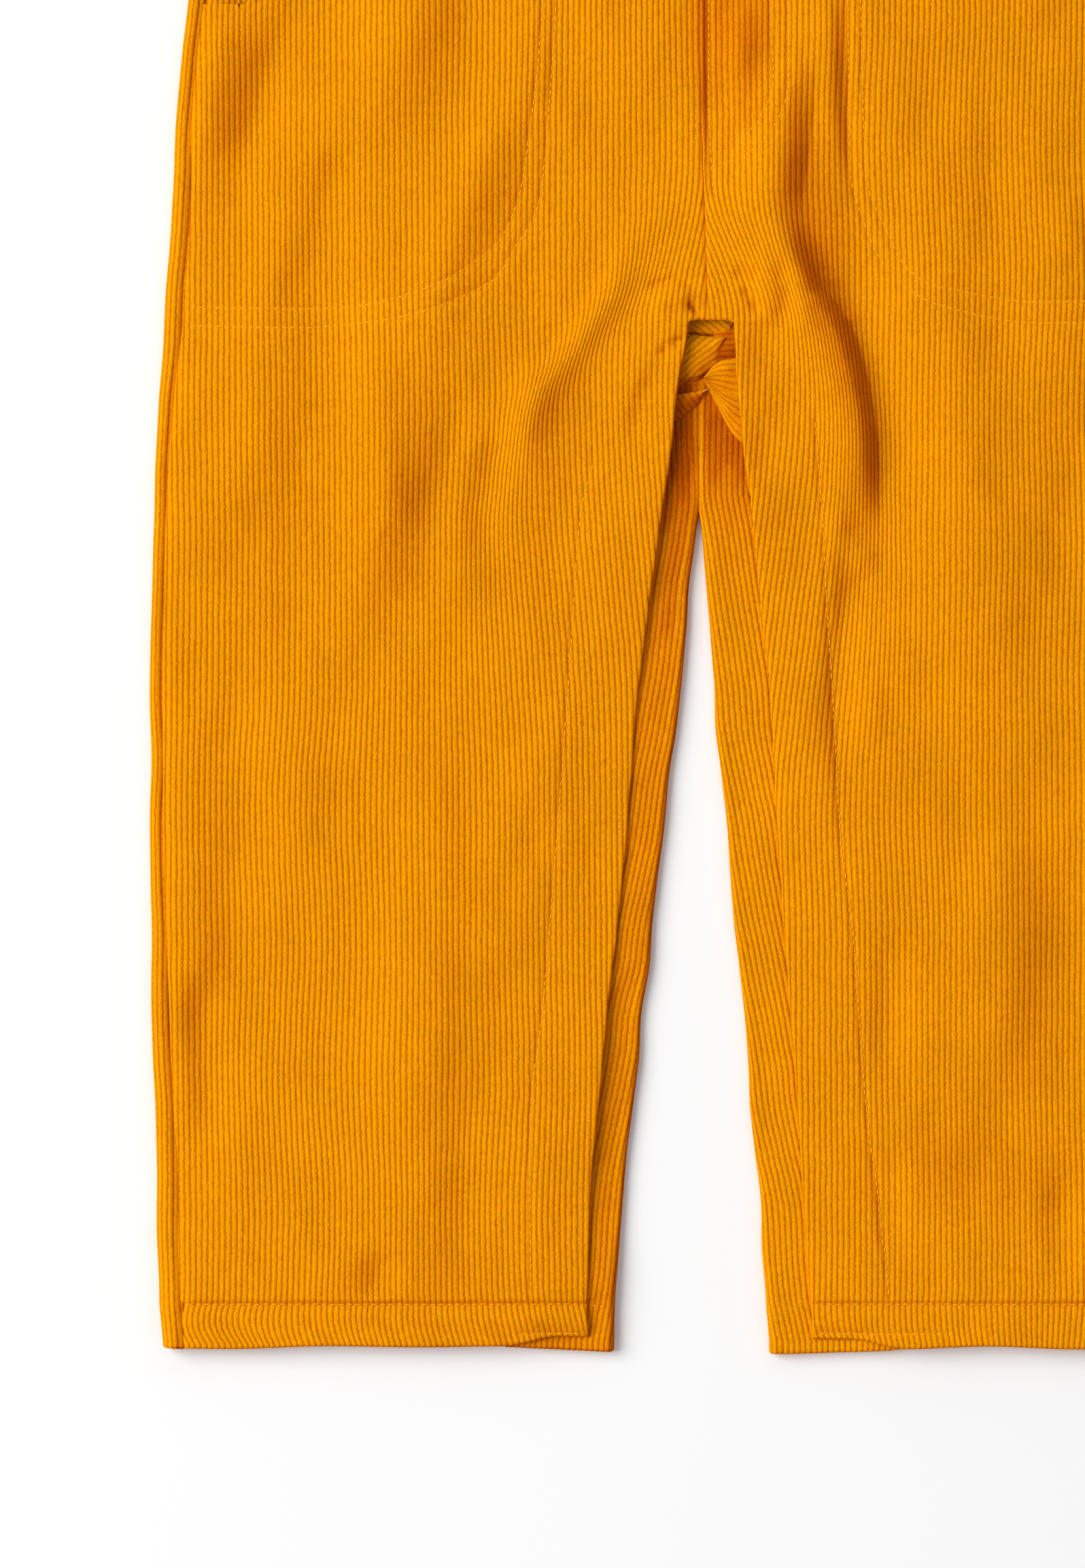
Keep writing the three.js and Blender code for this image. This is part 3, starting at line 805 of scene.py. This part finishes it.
def backSection(side, s, up):
    # a point at s along the section, measured from the outer fold, out and height
    outer, seam, inner = side["outer"](up), side["seam"](up), side["inner"](up)
    r = foldTop(up) / 2
    quarter = r * math.pi / 2
    angle = np.clip(s / r, -math.pi / 2, math.pi / 2)
    out = outer - r + r * np.cos(angle)
    z = r - r * np.sin(angle)
    out = out - np.maximum(-s - quarter, 0)
    unroll = np.array([row[:2] for row in backShape["unroll"]], dtype=float)
    turn = np.radians(np.interp(up, unroll[:, 0], unroll[:, 1]))
    hook = underTop(up) / 2
    tuck = backShape["tuck"] + (backShape["hemTuck"] - backShape["tuck"]) * (1 - smooth(up, 12, 30))
    legLap = side["edge"](np.minimum(up, 362)) + tuck - inner - hook
    laps = np.array([(row[0], row[2]) for row in backShape["unroll"] if row[2] is not None], dtype=float)
    lap = np.where(up < laps[0, 0], legLap, np.interp(up, laps[:, 0], laps[:, 1]))
    reach = hook * np.sin(np.minimum(turn, math.pi / 2)) + np.maximum(np.cos(turn) * lap, 0)
    centre = inner + reach
    bottomEnd = quarter + outer - r - centre
    past = s - bottomEnd
    under = np.clip(s - quarter, 0, bottomEnd - quarter)
    out = out - under
    bend = np.clip(past / hook, 0, turn)
    out = out - np.where(past > 0, hook * np.sin(bend), 0)
    z = z + np.where(past > 0, hook * (1 - np.cos(bend)), 0)
    straight = np.maximum(past - hook * turn, 0)
    out = out - np.cos(turn) * straight
    z = z + np.sin(turn) * straight
    tailEnd = bottomEnd + hook * turn + lap
    seamStart = -(outer - r - seam) - quarter
    return {"out": out, "z": z, "tailEnd": tailEnd, "seamStart": seamStart, "bottomEnd": bottomEnd,
            "hook": hook * turn}


def backPlace(side):
    sign = side["sign"]

    def place(u, v):
        s0 = sign * u
        firstOut = backSection(side, s0, np.maximum(v, 0))["out"]
        corner = backShape["hemCorner"]
        near = np.clip((side["edge"](0) + corner - firstOut) / corner, 0, 1.2)
        hem = -backShape["hemDrop"] * near + hemWave(sign * firstOut)
        over = hem - v
        up = np.maximum(v, hem)
        firstBottom = backSection(side, s0, up)["bottomEnd"]
        # the wales of the turned-over strip lean and wander
        strip = smooth(s0, firstBottom - 110, firstBottom - 4)
        wander = 0.45 * softNoise(u * 0.3, up, 34, 42) + 0.14 * softNoise(u, up, 9, 43)
        wander = 0.3 * softNoise(u, up, 30, 41) + strip * wander
        shift = backShape["lean"][side["name"]] * (side["inner"](up) - side["inner"](0))
        s = s0 + wander - strip * shift
        tailEnd = backSection(side, s, up)["tailEnd"]
        atCentre = up > 377
        overTail = np.where(atCentre, s - tailEnd + cloth["edgeRoll"], -1)
        cut = np.where(atCentre, np.minimum(s, tailEnd - cloth["edgeRoll"]), s)
        section = backSection(side, cut, up)
        out, z, tailEnd, bottomEnd = section["out"], section["z"], section["tailEnd"], section["bottomEnd"]
        forwardTail, sinkTail = roll(overTail, cloth["edgeRoll"])
        out = out - forwardTail
        z = z + sinkTail
        beyondSeam = section["seamStart"] + 0.5 - s
        seamOut = side["seam"](up) + 0.35
        forward, sink = roll(beyondSeam, cloth["edgeRoll"])
        out = np.where(beyondSeam > 0, seamOut - forward, out)
        # the top margin by the side seam: a welt beside the sewn dip
        margin = smooth(-s, -2, 6)
        welt = backShape["welt"] * bumpAt(out - seamOut, 3.0, 1.8)
        dip = 0.5 * bumpAt(out, seamOut, 1.5)
        z = z + margin * (welt - dip)
        z = z - sink
        # hand-made waves: the strip ripples, and the outer fold is not quite straight
        tail = smooth(s, bottomEnd + 0.6 * section["hook"], bottomEnd + section["hook"] + 3)
        ripple = 0.45 * softNoise(u, up * 0.5, 12, 44) + 0.25 * softNoise(u, up, 6, 45)
        z = z + tail * (ripple - 0.2)
        out = out + 0.5 * softNoise(up, up * 0, 21, 46 + sign) * smooth(-s, -6, 2)
        innerWave = 0.7 * softNoise(up, up * 0, 17, 48 + sign) * smooth(s, bottomEnd - 4, bottomEnd + 2)
        out = out - innerWave * smooth(-up, -318, -300)
        out = out - 1.2 * smooth(up, 288, 306) * smooth(s, bottomEnd - 4, bottomEnd + 2) * (up < 366)
        x = sign * out
        points = np.stack([x, up, z], axis=2)
        forwardHem, sinkHem = roll(over, cloth["hemRoll"])
        points[..., 1] = np.where(over > 0, hem - forwardHem, points[..., 1])
        slopeX, slopeZ = np.gradient(x, axis=1), np.gradient(z, axis=1)
        length = np.maximum(np.hypot(slopeX, slopeZ), 1e-9)
        points[..., 0] += slopeZ / length * sinkHem
        points[..., 2] -= slopeX / length * sinkHem
        press = bumpAt(v, hemStitchUp, pressed["half"])
        kept = ((s < tailEnd) | (atCentre & (overTail < 4))) & (beyondSeam < cloth["edgeKept"])
        kept &= over < cloth["hemTurn"] + math.pi * cloth["hemRoll"]
        kept &= ~((beyondSeam > 1.5) & (over > 2.5))
        # painted shade on the turned-over strips: darker towards the crotch, and darker on the left strip,
        # which lies in the shadow of the front panel's edge
        shade = 0.26 if sign < 0 else -0.04
        deep = tail * (0.2 * smooth(up, 210, 325) + 0.55 * smooth(up, 285, 335) + shade)
        return {"points": points, "kept": kept, "waleShare": 1 - 0.5 * press, "deep": deep}

    return place


backRows = steppedRows(*hemRows, (39.4, 310, 5.2), (310, 384, 2.2), (384, 575, 7.5))
backs = {}
for name, side in sides.items():
    columns = waleColumns(-22, 236)
    if side["sign"] < 0:
        columns = -columns[::-1]
    mesh = sewCloth("back_" + name + "_cloth", columns, backRows, backPlace(side))
    backs[name] = asObject("back_" + name + "_cloth", mesh, corduroy)
print("backs sewn")


# Gathered seat cloth shows in the hollow under the crotch. Each lobe lies between a hidden line and its
# visible edge; its wales run at an angle, or fan out from the point where both lines start.
# Each lobe's deep gives painted shade for the hollow it lies in.
seatLobes = {
    "left": [
        {"hidden": [(-12, 340), (-6, 341), (0, 342), (4, 343)],
         "edge": [(-13, 328), (-6.8, 331.5), (-2.4, 334.6), (0.5, 338), (2.2, 342.5)],
         "low": 4.4, "high": 5.2, "bulge": 1.1, "angle": -52, "deep": 0.62},
        {"hidden": [(-12, 361), (-4, 362.3), (3, 361.6), (9.2, 361.3)],
         "edge": [(-13, 342.5), (-8, 343.7), (-4.4, 344.4), (0.5, 345.6), (4.1, 348), (7.3, 351), (8.6, 355),
                  (9.6, 360.5)],
         "low": 5.4, "high": 6.2, "bulge": 2.2, "angle": 38, "deep": 0.05},
        {"hidden": [(-12, 374), (-2, 375), (6, 373), (14, 370)],
         "edge": [(-12, 361.3), (-4, 362), (3, 361.3), (9.4, 361.0)],
         "low": 6.4, "high": 6.0, "bulge": 1.0, "angle": -38, "deep": 0.12},
    ],
    "right": [
        {"hidden": [(1.7, 346.5), (8, 344), (16, 343), (23, 343)],
         "edge": [(1.7, 346), (4.4, 340.4), (6.6, 336), (11.5, 326), (17, 320.5), (24, 316)],
         "low": 4.4, "high": 5.4, "bulge": 1.4, "fan": 15, "deep": 0.22},
        {"hidden": [(1.7, 347), (6, 352), (12, 354), (22, 355)],
         "edge": [(1.7, 346), (4.4, 342.2), (7.8, 339.5), (15, 336), (23, 334)],
         "low": 4.9, "high": 5.8, "bulge": 1.7, "fan": 15, "deep": 0.2},
        {"hidden": [(5, 364), (9, 366), (14, 366.5), (22, 367)],
         "edge": [(6.5, 350), (8, 351), (12, 351.5), (22, 352)],
         "low": 5.0, "high": 6.0, "bulge": 1.5, "angle": 4, "deep": 0.6},
    ],
}
lobeStep = 0.42


def evenPath(path, count):
    points = curveThrough(path, 0.4)
    run = np.concatenate([[0], np.cumsum(np.linalg.norm(np.diff(points, axis=0), axis=1))])
    at = np.linspace(0, run[-1], count)
    return np.stack([np.interp(at, run, points[:, 0]), np.interp(at, run, points[:, 1])], axis=1)


def lobeMesh(lobe, number):
    count = max(len(curveThrough(lobe[key], lobeStep)) for key in ("hidden", "edge")) + 1
    hidden, edge = evenPath(lobe["hidden"], count), evenPath(lobe["edge"], count)
    depth = np.linalg.norm(hidden - edge, axis=1).max()
    flatShare = np.linspace(0, 1, int(depth / lobeStep) + 8)
    rolledShare = 1 + np.arange(1, 10) * lobeStep / depth
    i, q = np.meshgrid(np.arange(count), np.concatenate([flatShare, rolledShare])[::-1])
    inner = np.minimum(q, 1)
    x = hidden[i, 0] * (1 - inner) + edge[i, 0] * inner
    y = hidden[i, 1] * (1 - inner) + edge[i, 1] * inner
    forward, sink = roll(np.maximum(q - 1, 0) * depth, 1.0)
    outward = edge - hidden
    outward = outward / np.maximum(np.linalg.norm(outward, axis=1, keepdims=True), 0.5)
    x = x + outward[i, 0] * forward
    y = y + outward[i, 1] * forward
    z = lobe["high"] * (1 - inner) + lobe["low"] * inner + lobe["bulge"] * np.sin(math.pi * inner ** 0.8)
    z = z - 1.6 * smooth(inner, 0.86, 1) - sink + 0.35 * softNoise(x, y, 5, 60 + number)
    if "fan" in lobe:
        across = q * lobe["fan"] + 0.3 * softNoise(x, y, 6, 70 + number)
    else:
        turn = math.radians(lobe["angle"])
        across = -x * math.sin(turn) + y * math.cos(turn) + 0.4 * softNoise(x, y, 7, 70 + number)
    points = np.stack([x, y, z], axis=2)
    normals = gridNormals(points)
    # painted shade: tilt away from the key light plus the lobe's painted shade for the hollow
    lean = normals @ np.array(cloth["awayFromKey"]) + lobe["deep"]
    points = points + normals * (waleHeight(across) * 0.9)[..., None]
    return gridMesh("lobe", points, across, points[..., 1] + hemY, lean)[0]


def joinInto(piece, meshes):
    bm = bmesh.new()
    bm.from_mesh(piece.data)
    for mesh in meshes:
        bm.from_mesh(mesh)
        bpy.data.meshes.remove(mesh)
    bm.to_mesh(piece.data)
    bm.free()


for name, lobes in seatLobes.items():
    joinInto(backs[name], [lobeMesh(lobe, number) for number, lobe in enumerate(lobes)])
print("seat gathered")


stitch = {"length": 2.3, "pitch": 3.0, "thick": 0.45, "wide": 0.55}


def addStitch(bm, at, along, normal):
    # one grain of thread, lying along its row
    along = along.normalized()
    across = normal.cross(along).normalized()
    turn = Matrix((across, normal, along)).transposed().to_4x4()
    size = Matrix.Diagonal((stitch["wide"] / 2 * mm, stitch["thick"] / 2 * mm, stitch["length"] / 2 * mm, 1))
    bmesh.ops.create_uvsphere(bm, u_segments=6, v_segments=4, radius=1,
                              matrix=Matrix.Translation(at) @ turn @ size)


def stitchAlong(bm, path, height, jitter):
    # height(x, up) gives the cloth's top, x and up in millimetres
    points = curveThrough(path, 1.0)
    run = np.concatenate([[0], np.cumsum(np.linalg.norm(np.diff(points, axis=0), axis=1))])
    count = int(run[-1] / stitch["pitch"])
    at = (np.arange(count) + 0.5) * stitch["pitch"]
    half = stitch["length"] / 2
    ends = []
    for place in (at - half, at, at + half):
        x = np.interp(place, run, points[:, 0]) + jitter.uniform(-0.12, 0.12, count)
        up = np.interp(place, run, points[:, 1]) + jitter.uniform(-0.12, 0.12, count)
        ends.append(np.stack([x, up + hemY, height(x, up)], axis=1) * mm)
    for a, middle, b in zip(*ends):
        addStitch(bm, Vector((a + b) / 4 + middle / 2), Vector(b - a), Vector((0, 0, 1)))


def stitchObject(name, rows):
    joined = bmesh.new()
    jitter = np.random.default_rng(90)
    for path, height in rows:
        row = bmesh.new()
        stitchAlong(row, path, height, jitter)
        rowMesh = meshFrom(row, "row")
        joined.from_mesh(rowMesh)
        bpy.data.meshes.remove(rowMesh)
    mesh = meshFrom(joined, name)
    mesh.shade_smooth()
    return asObject(name, mesh, thread)


def frontTop(side):
    def height(x, up):
        return frontLift(side, x, up) - pressed["depth"]

    return height


def stripTop(x, up):
    return underTop(up) + 0 * x - 0.35


stitches = {}
for name, side in sides.items():
    sign = side["sign"]
    rows = [(path, frontTop(side)) for path in stitchRows[name].values()]
    outs = np.linspace(side["edge"](15) + 2, side["seam"](15) - 1.5, 12)
    hemPath = [(sign * out, hemStitchUp) for out in outs]
    rows.append((hemPath, frontTop(side)))
    strip = [(sign * (side["inner"](15) + 3.4), 13.4), (sign * (side["edge"](15) + 1), 14.2)]
    rows.append((strip, stripTop))
    stitches[name] = stitchObject("stitches_" + name, rows)
print("stitches made")


# The side pieces fill the scooped pocket openings.
pocketShape = {"low": 468, "under": 14, "deepest": 146}


def pocketPlace(side):
    sign = side["sign"]

    def place(u, v):
        up = np.minimum(v, waistTop)
        inner = np.minimum(pathAt(frontShape["scoop"], 1, up) - pocketShape["under"], pocketShape["deepest"])
        outer = side["seam"](up)
        out = sign * u + 0.3 * softNoise(u, up, 30, 51)
        beyond = out - outer
        forward, sink = roll(beyond, cloth["edgeRoll"])
        z = underTop(up) + 1.4 * smooth(out, outer - 16, outer - 4)
        z = z - 1.4 * bumpAt(out, outer, 2.0) + 0.4 * softNoise(u, up * 0.5, 20, 52)
        over = v - waistTop
        forwardTop, sinkTop = roll(over, cloth["edgeRoll"])
        placed = np.where(beyond > 0, outer + forward, out)
        y = up + np.where(over > 0, forwardTop, 0)
        points = np.stack([sign * placed, y, z - sink - sinkTop], axis=2)
        kept = (out > inner) & (beyond < 3) & (over < 3)
        return {"points": points, "kept": kept}

    return place


pockets = {}
for name, side in sides.items():
    span = (100, 186) if side["sign"] > 0 else (-186, -100)
    rows = steppedRows((pocketShape["low"], 574, 3.5), (574, 578, 0.6))
    mesh = sewCloth("pocket_side_" + name + "_cloth", waleColumns(*span), rows, pocketPlace(side))
    pockets[name] = asObject("pocket_side_" + name + "_cloth", mesh, corduroy)
print("pockets sewn")


bibShape = {
    "front": [(112, 575), (100, 585), (91, 600), (84, 625), (80.5, 660), (78, 725)],
    "back": [(164, 575), (148, 585), (128, 600), (106, 622), (88, 650), (70, 700)],
    "hem": 8,  # turned in at the sides
    "topHem": 20,
}


def bibPlace(outline, top, low, height, turned):
    # turned is 1 where the outside faces up, -1 where it faces the floor
    def place(u, v):
        x = turned * u + 0.3 * softNoise(u, v, 30, 81)
        up = np.clip(v, low, top)
        half = pathAt(outline, 1, up)
        beyond = np.abs(x) - half
        forward, sink = roll(beyond, cloth["edgeRoll"])
        placed = np.where(beyond > 0, np.sign(x) * (half + forward), x)
        overTop, overLow = v - top, low - v
        forwardTop, sinkTop = roll(overTop, cloth["edgeRoll"])
        forwardLow, sinkLow = roll(overLow, cloth["edgeRoll"])
        y = np.where(overTop > 0, top + forwardTop, np.where(overLow > 0, low - forwardLow, up))
        side = bumpAt(beyond, -bibShape["hem"], 1.0)
        topRow = bumpAt(up - top, -bibShape["topHem"], 1.0)
        lowRows = bumpAt(up - low, 2.5, 1.0) + bumpAt(up - low, 8.5, 1.0)
        press = np.clip(side + topRow + lowRows, 0, 1)
        lift = 0.35 * softNoise(x, up * 0.6, 28, 82) + 0.15 * softNoise(x, up, 9, 83)
        thick = 0.5 * smooth(beyond, -bibShape["hem"] - 1, -bibShape["hem"] + 2)
        topHem = top - bibShape["topHem"]
        thick = np.maximum(thick, 0.5 * smooth(up, topHem - 1, topHem + 2))
        if turned < 0:
            lift = np.abs(lift) * 0.5
            thick = thick * 0
        z = height + turned * (thick - pressed["depth"] * press * 0.8 - sink - sinkTop - sinkLow) + lift
        kept = (beyond < cloth["edgeKept"]) & (overTop < 6) & (overLow < 4)
        kept &= ~((beyond > 1.5) & ((overTop > 1.5) | (overLow > 1.5)))
        return {"points": np.stack([placed, y, z], axis=2), "kept": kept, "waleShare": 1 - 0.5 * press}

    return place


bibTops = {"front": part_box("bib_front")[1].y / mm - hemY, "back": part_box("bib_back")[1].y / mm - hemY}


def bibRows(top):
    return steppedRows((waistUp - 4, waistUp + 12, 0.8), (waistUp + 12, top - 24, 3.4),
                       (top - 24, top - 16, 0.8), (top - 16, top - 2, 2.4), (top - 2, top + 6, 0.6))


bibs = {}
for name, turned, height in (("front", 1, 6.1), ("back", -1, 0.1)):
    widest = bibShape[name][0][0] + 7
    place = bibPlace(bibShape[name], bibTops[name], waistUp + 0.3, height, turned)
    mesh = sewCloth("bib_" + name + "_cloth", waleColumns(-widest, widest), bibRows(bibTops[name]), place)
    bibs[name] = asObject("bib_" + name + "_cloth", mesh, corduroy)


def bibHeight(x, up):
    return 6.15 + 0.35 * softNoise(x, np.asarray(up) * 0.6, 28, 82) + 0 * up


bibStitchRows = []
for sign in (-1, 1):
    rowPath = [(sign * (out - bibShape["hem"]), up) for out, up in bibShape["front"][1:-1]]
    rowPath.append((sign * (bibShape["front"][-1][0] - bibShape["hem"]), bibShape["front"][-1][1] - 3))
    bibStitchRows.append((rowPath, bibHeight))
lowRows = [waistUp + 2.8, waistUp + 8.8]
levelRows = [(up, float(pathAt(bibShape["front"], 1, up)) - 3) for up in lowRows]
levelRows.append((bibTops["front"] - bibShape["topHem"], 75))
for up, half in levelRows:
    bibStitchRows.append(([(-half, up), (0, up), (half, up)], bibHeight))
bibStitches = stitchObject("stitches_bib", bibStitchRows)
print("bib sewn")


strapShape = {
    "width": 31.4,
    "thick": 2.4,
    "wales": 32,
    "rows": 120,
    "frontOut": 57,
    "backOut": 46,
    # the outer face's route, from the front bib over the shoulder to the back bib: up, height
    "route": [(680, 8.7), (702.5, 8.7), (727, 8.7), (745, 5.3), (765, 5.1), (780, 5.1), (787.4, 5.0),
              (790, 2.55), (787.4, 0.35), (780, 0.2), (765, 0.2), (740, 0.2), (714, 0.2), (702, 1.8),
              (678, 1.8)],
}


def strapPlace(sign):
    route = evenPath(strapShape["route"], strapShape["rows"])
    steps = np.gradient(route, axis=0)
    steps = steps / np.linalg.norm(steps, axis=1, keepdims=True)
    outward = np.stack([-steps[:, 1], steps[:, 0]], axis=1)
    if outward[0, 1] < 0:
        outward = -outward
    radius = strapShape["thick"] / 2
    straight = strapShape["width"] - strapShape["thick"]
    around = 2 * straight + 2 * math.pi * radius

    def place(u, v):
        i = np.rint(v).astype(int)
        w = np.mod(u / (strapShape["wales"] * cloth["pitch"]), 1) * around
        bend = math.pi * radius
        onTop = w < straight
        onRight = (w >= straight) & (w < straight + bend)
        onUnder = (w >= straight + bend) & (w < 2 * straight + bend)
        angle = np.where(onRight, (w - straight) / radius, (w - 2 * straight - bend) / radius)
        x = np.where(onTop, w - straight / 2, np.where(onRight, straight / 2 + radius * np.sin(angle), 0))
        x = np.where(onUnder, straight / 2 - (w - straight - bend), x)
        onLeft = ~(onTop | onRight | onUnder)
        x = np.where(onLeft, -straight / 2 - radius * np.sin(angle), x)
        h = np.where(onUnder, -radius, np.where(onRight, radius, -radius) * np.cos(angle))
        h = np.where(onTop, radius, h)
        edgeRow = np.exp(-((np.abs(x) - straight / 2 + 2.5) / 0.9) ** 2)
        h = h - 0.25 * np.sign(h) * edgeRow
        share = v / (strapShape["rows"] - 1)
        out = strapShape["frontOut"] + (strapShape["backOut"] - strapShape["frontOut"]) * share
        centre = route[i] - outward[i] * radius
        y = centre[..., 0] + outward[i, 0] * h
        z = centre[..., 1] + outward[i, 1] * h
        points = np.stack([sign * out + x, y, z], axis=2)
        return {"points": points, "kept": np.ones(u.shape, dtype=bool), "waleShare": 0.55}

    return place


def strapMesh(name, sign):
    columns = [(k + part) * cloth["pitch"] for k in range(strapShape["wales"]) for part in cloth["columns"]]
    columns = np.array(columns + [strapShape["wales"] * cloth["pitch"] - 1e-9])
    mesh = sewCloth(name, columns, np.arange(strapShape["rows"]), strapPlace(sign))
    bm = bmesh.new()
    bm.from_mesh(mesh)
    bmesh.ops.remove_doubles(bm, verts=bm.verts, dist=1e-5)
    bmesh.ops.holes_fill(bm, edges=[e for e in bm.edges if e.is_boundary], sides=0)
    bmesh.ops.recalc_face_normals(bm, faces=bm.faces)
    bm.to_mesh(mesh)
    bm.free()
    mesh.shade_smooth()
    return mesh


buttonShape = {
    # half a section of the button: out from its middle, height above its back
    "section": [(0, 0), (8.6, 0), (9.7, 0.5), (10, 1.4), (9.7, 2.4), (8.8, 3.0), (7.6, 2.9), (6.6, 2.2),
                (0, 2.0)],
    "base": 9,
    "up": 697,
    "steps": 48,
    "holeOut": 1.9,
    "holeRadius": 0.85,
    "threadSize": (0.4, 2.4, 0.4),  # half sizes of one strand
}


def buttonSpot(sign, out, up, rise):
    # a place on a button, measured from the middle of its back
    x, y = sign * strapShape["frontOut"] + out, buttonShape["up"] + hemY + up
    return Matrix.Translation((x * mm, y * mm, (buttonShape["base"] + rise) * mm))


def buttonMesh(name, sign):
    bm = bmesh.new()
    verts = [bm.verts.new((out * mm, 0, up * mm)) for out, up in buttonShape["section"]]
    edges = [bm.edges.new(pair) for pair in zip(verts, verts[1:])]
    bmesh.ops.spin(bm, geom=verts + edges, cent=(0, 0, 0), axis=(0, 0, 1), angle=2 * math.pi,
                   steps=buttonShape["steps"], use_merge=True)
    bmesh.ops.remove_doubles(bm, verts=bm.verts, dist=1e-6)
    bmesh.ops.recalc_face_normals(bm, faces=bm.faces)
    body = bpy.data.objects.new("button body", meshFrom(bm, name))
    bpy.context.scene.collection.objects.link(body)
    drill = bmesh.new()
    holeOut, holeRadius = buttonShape["holeOut"] * mm, buttonShape["holeRadius"] * mm
    for ax in (-1, 1):
        for ay in (-1, 1):
            spot = Matrix.Translation((ax * holeOut, ay * holeOut, 1.5 * mm))
            bmesh.ops.create_cone(drill, cap_ends=True, segments=16, radius1=holeRadius, radius2=holeRadius,
                                  depth=6 * mm, matrix=spot)
    cutter = bpy.data.objects.new("drill", meshFrom(drill, "drill"))
    bpy.context.scene.collection.objects.link(cutter)
    cut = body.modifiers.new("holes", "BOOLEAN")
    cut.operation = "DIFFERENCE"
    cut.object = cutter
    cut.solver = "EXACT"
    bpy.context.view_layer.update()
    drilled = bpy.data.meshes.new_from_object(body.evaluated_get(bpy.context.evaluated_depsgraph_get()))
    bpy.data.objects.remove(body)
    bpy.data.objects.remove(cutter)
    drilled.transform(buttonSpot(sign, 0, 0, 0))
    drilled.name = name
    for polygon in drilled.polygons:
        polygon.use_smooth = abs(polygon.normal.z) < 0.98
    return drilled


straps, buttons, buttonThreads = {}, {}, {}
for name, sign in (("left", -1), ("right", 1)):
    strapName, buttonName = "strap_" + name + "_cloth", "button_" + name + "_resin"
    straps[name] = asObject(strapName, strapMesh(strapName, sign), corduroy)
    buttons[name] = asObject(buttonName, buttonMesh(buttonName, sign), resin)
    bm = bmesh.new()
    size = Matrix.Diagonal([part * mm for part in buttonShape["threadSize"]] + [1])
    for ax in (-1, 1):
        for apart in (0, 0.25):
            spot = buttonSpot(sign, ax * (buttonShape["holeOut"] + apart), 0, 2.25)
            flat = Matrix.Rotation(math.radians(90), 4, "X")
            bmesh.ops.create_uvsphere(bm, u_segments=8, v_segments=6, radius=1, matrix=spot @ size @ flat)
    mesh = meshFrom(bm, "button_thread_" + name)
    mesh.shade_smooth()
    buttonThreads[name] = asObject("button_thread_" + name, mesh, thread)
print("straps and buttons made")


cuts = {
    # the solid a piece stands for: the piece, its flat width and length, its area, what it rests on
    "front_left": (fronts["left"], 0.206, 0.604, 0.103, ["back_left_cloth"]),
    "front_right": (fronts["right"], 0.206, 0.604, 0.103, ["back_right_cloth"]),
    "back_left": (backs["left"], 0.244, 0.604, 0.131, []),
    "back_right": (backs["right"], 0.244, 0.604, 0.131, []),
    "pocket_side_left": (pockets["left"], 0.070, 0.110, 0.0062, ["back_left_cloth"]),
    "pocket_side_right": (pockets["right"], 0.070, 0.110, 0.0062, ["back_right_cloth"]),
    "bib_front": (bibs["front"], 0.236, 0.158, 0.0275, ["bib_back_cloth"]),
    "bib_back": (bibs["back"], 0.340, 0.134, 0.0285, []),
    "strap_left": (straps["left"], 0.033, 0.226, None, ["bib_front_cloth", "bib_back_cloth"]),
    "strap_right": (straps["right"], 0.033, 0.226, None, ["bib_front_cloth", "bib_back_cloth"]),
}
for node, (piece, width, length, area, restsOn) in cuts.items():
    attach(piece, "root")
    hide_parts(node)
for name in ("left", "right"):
    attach(buttons[name], "root")
    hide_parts("button_" + name)
for piece in [*stitches.values(), bibStitches, *buttonThreads.values()]:
    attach(piece, "root")
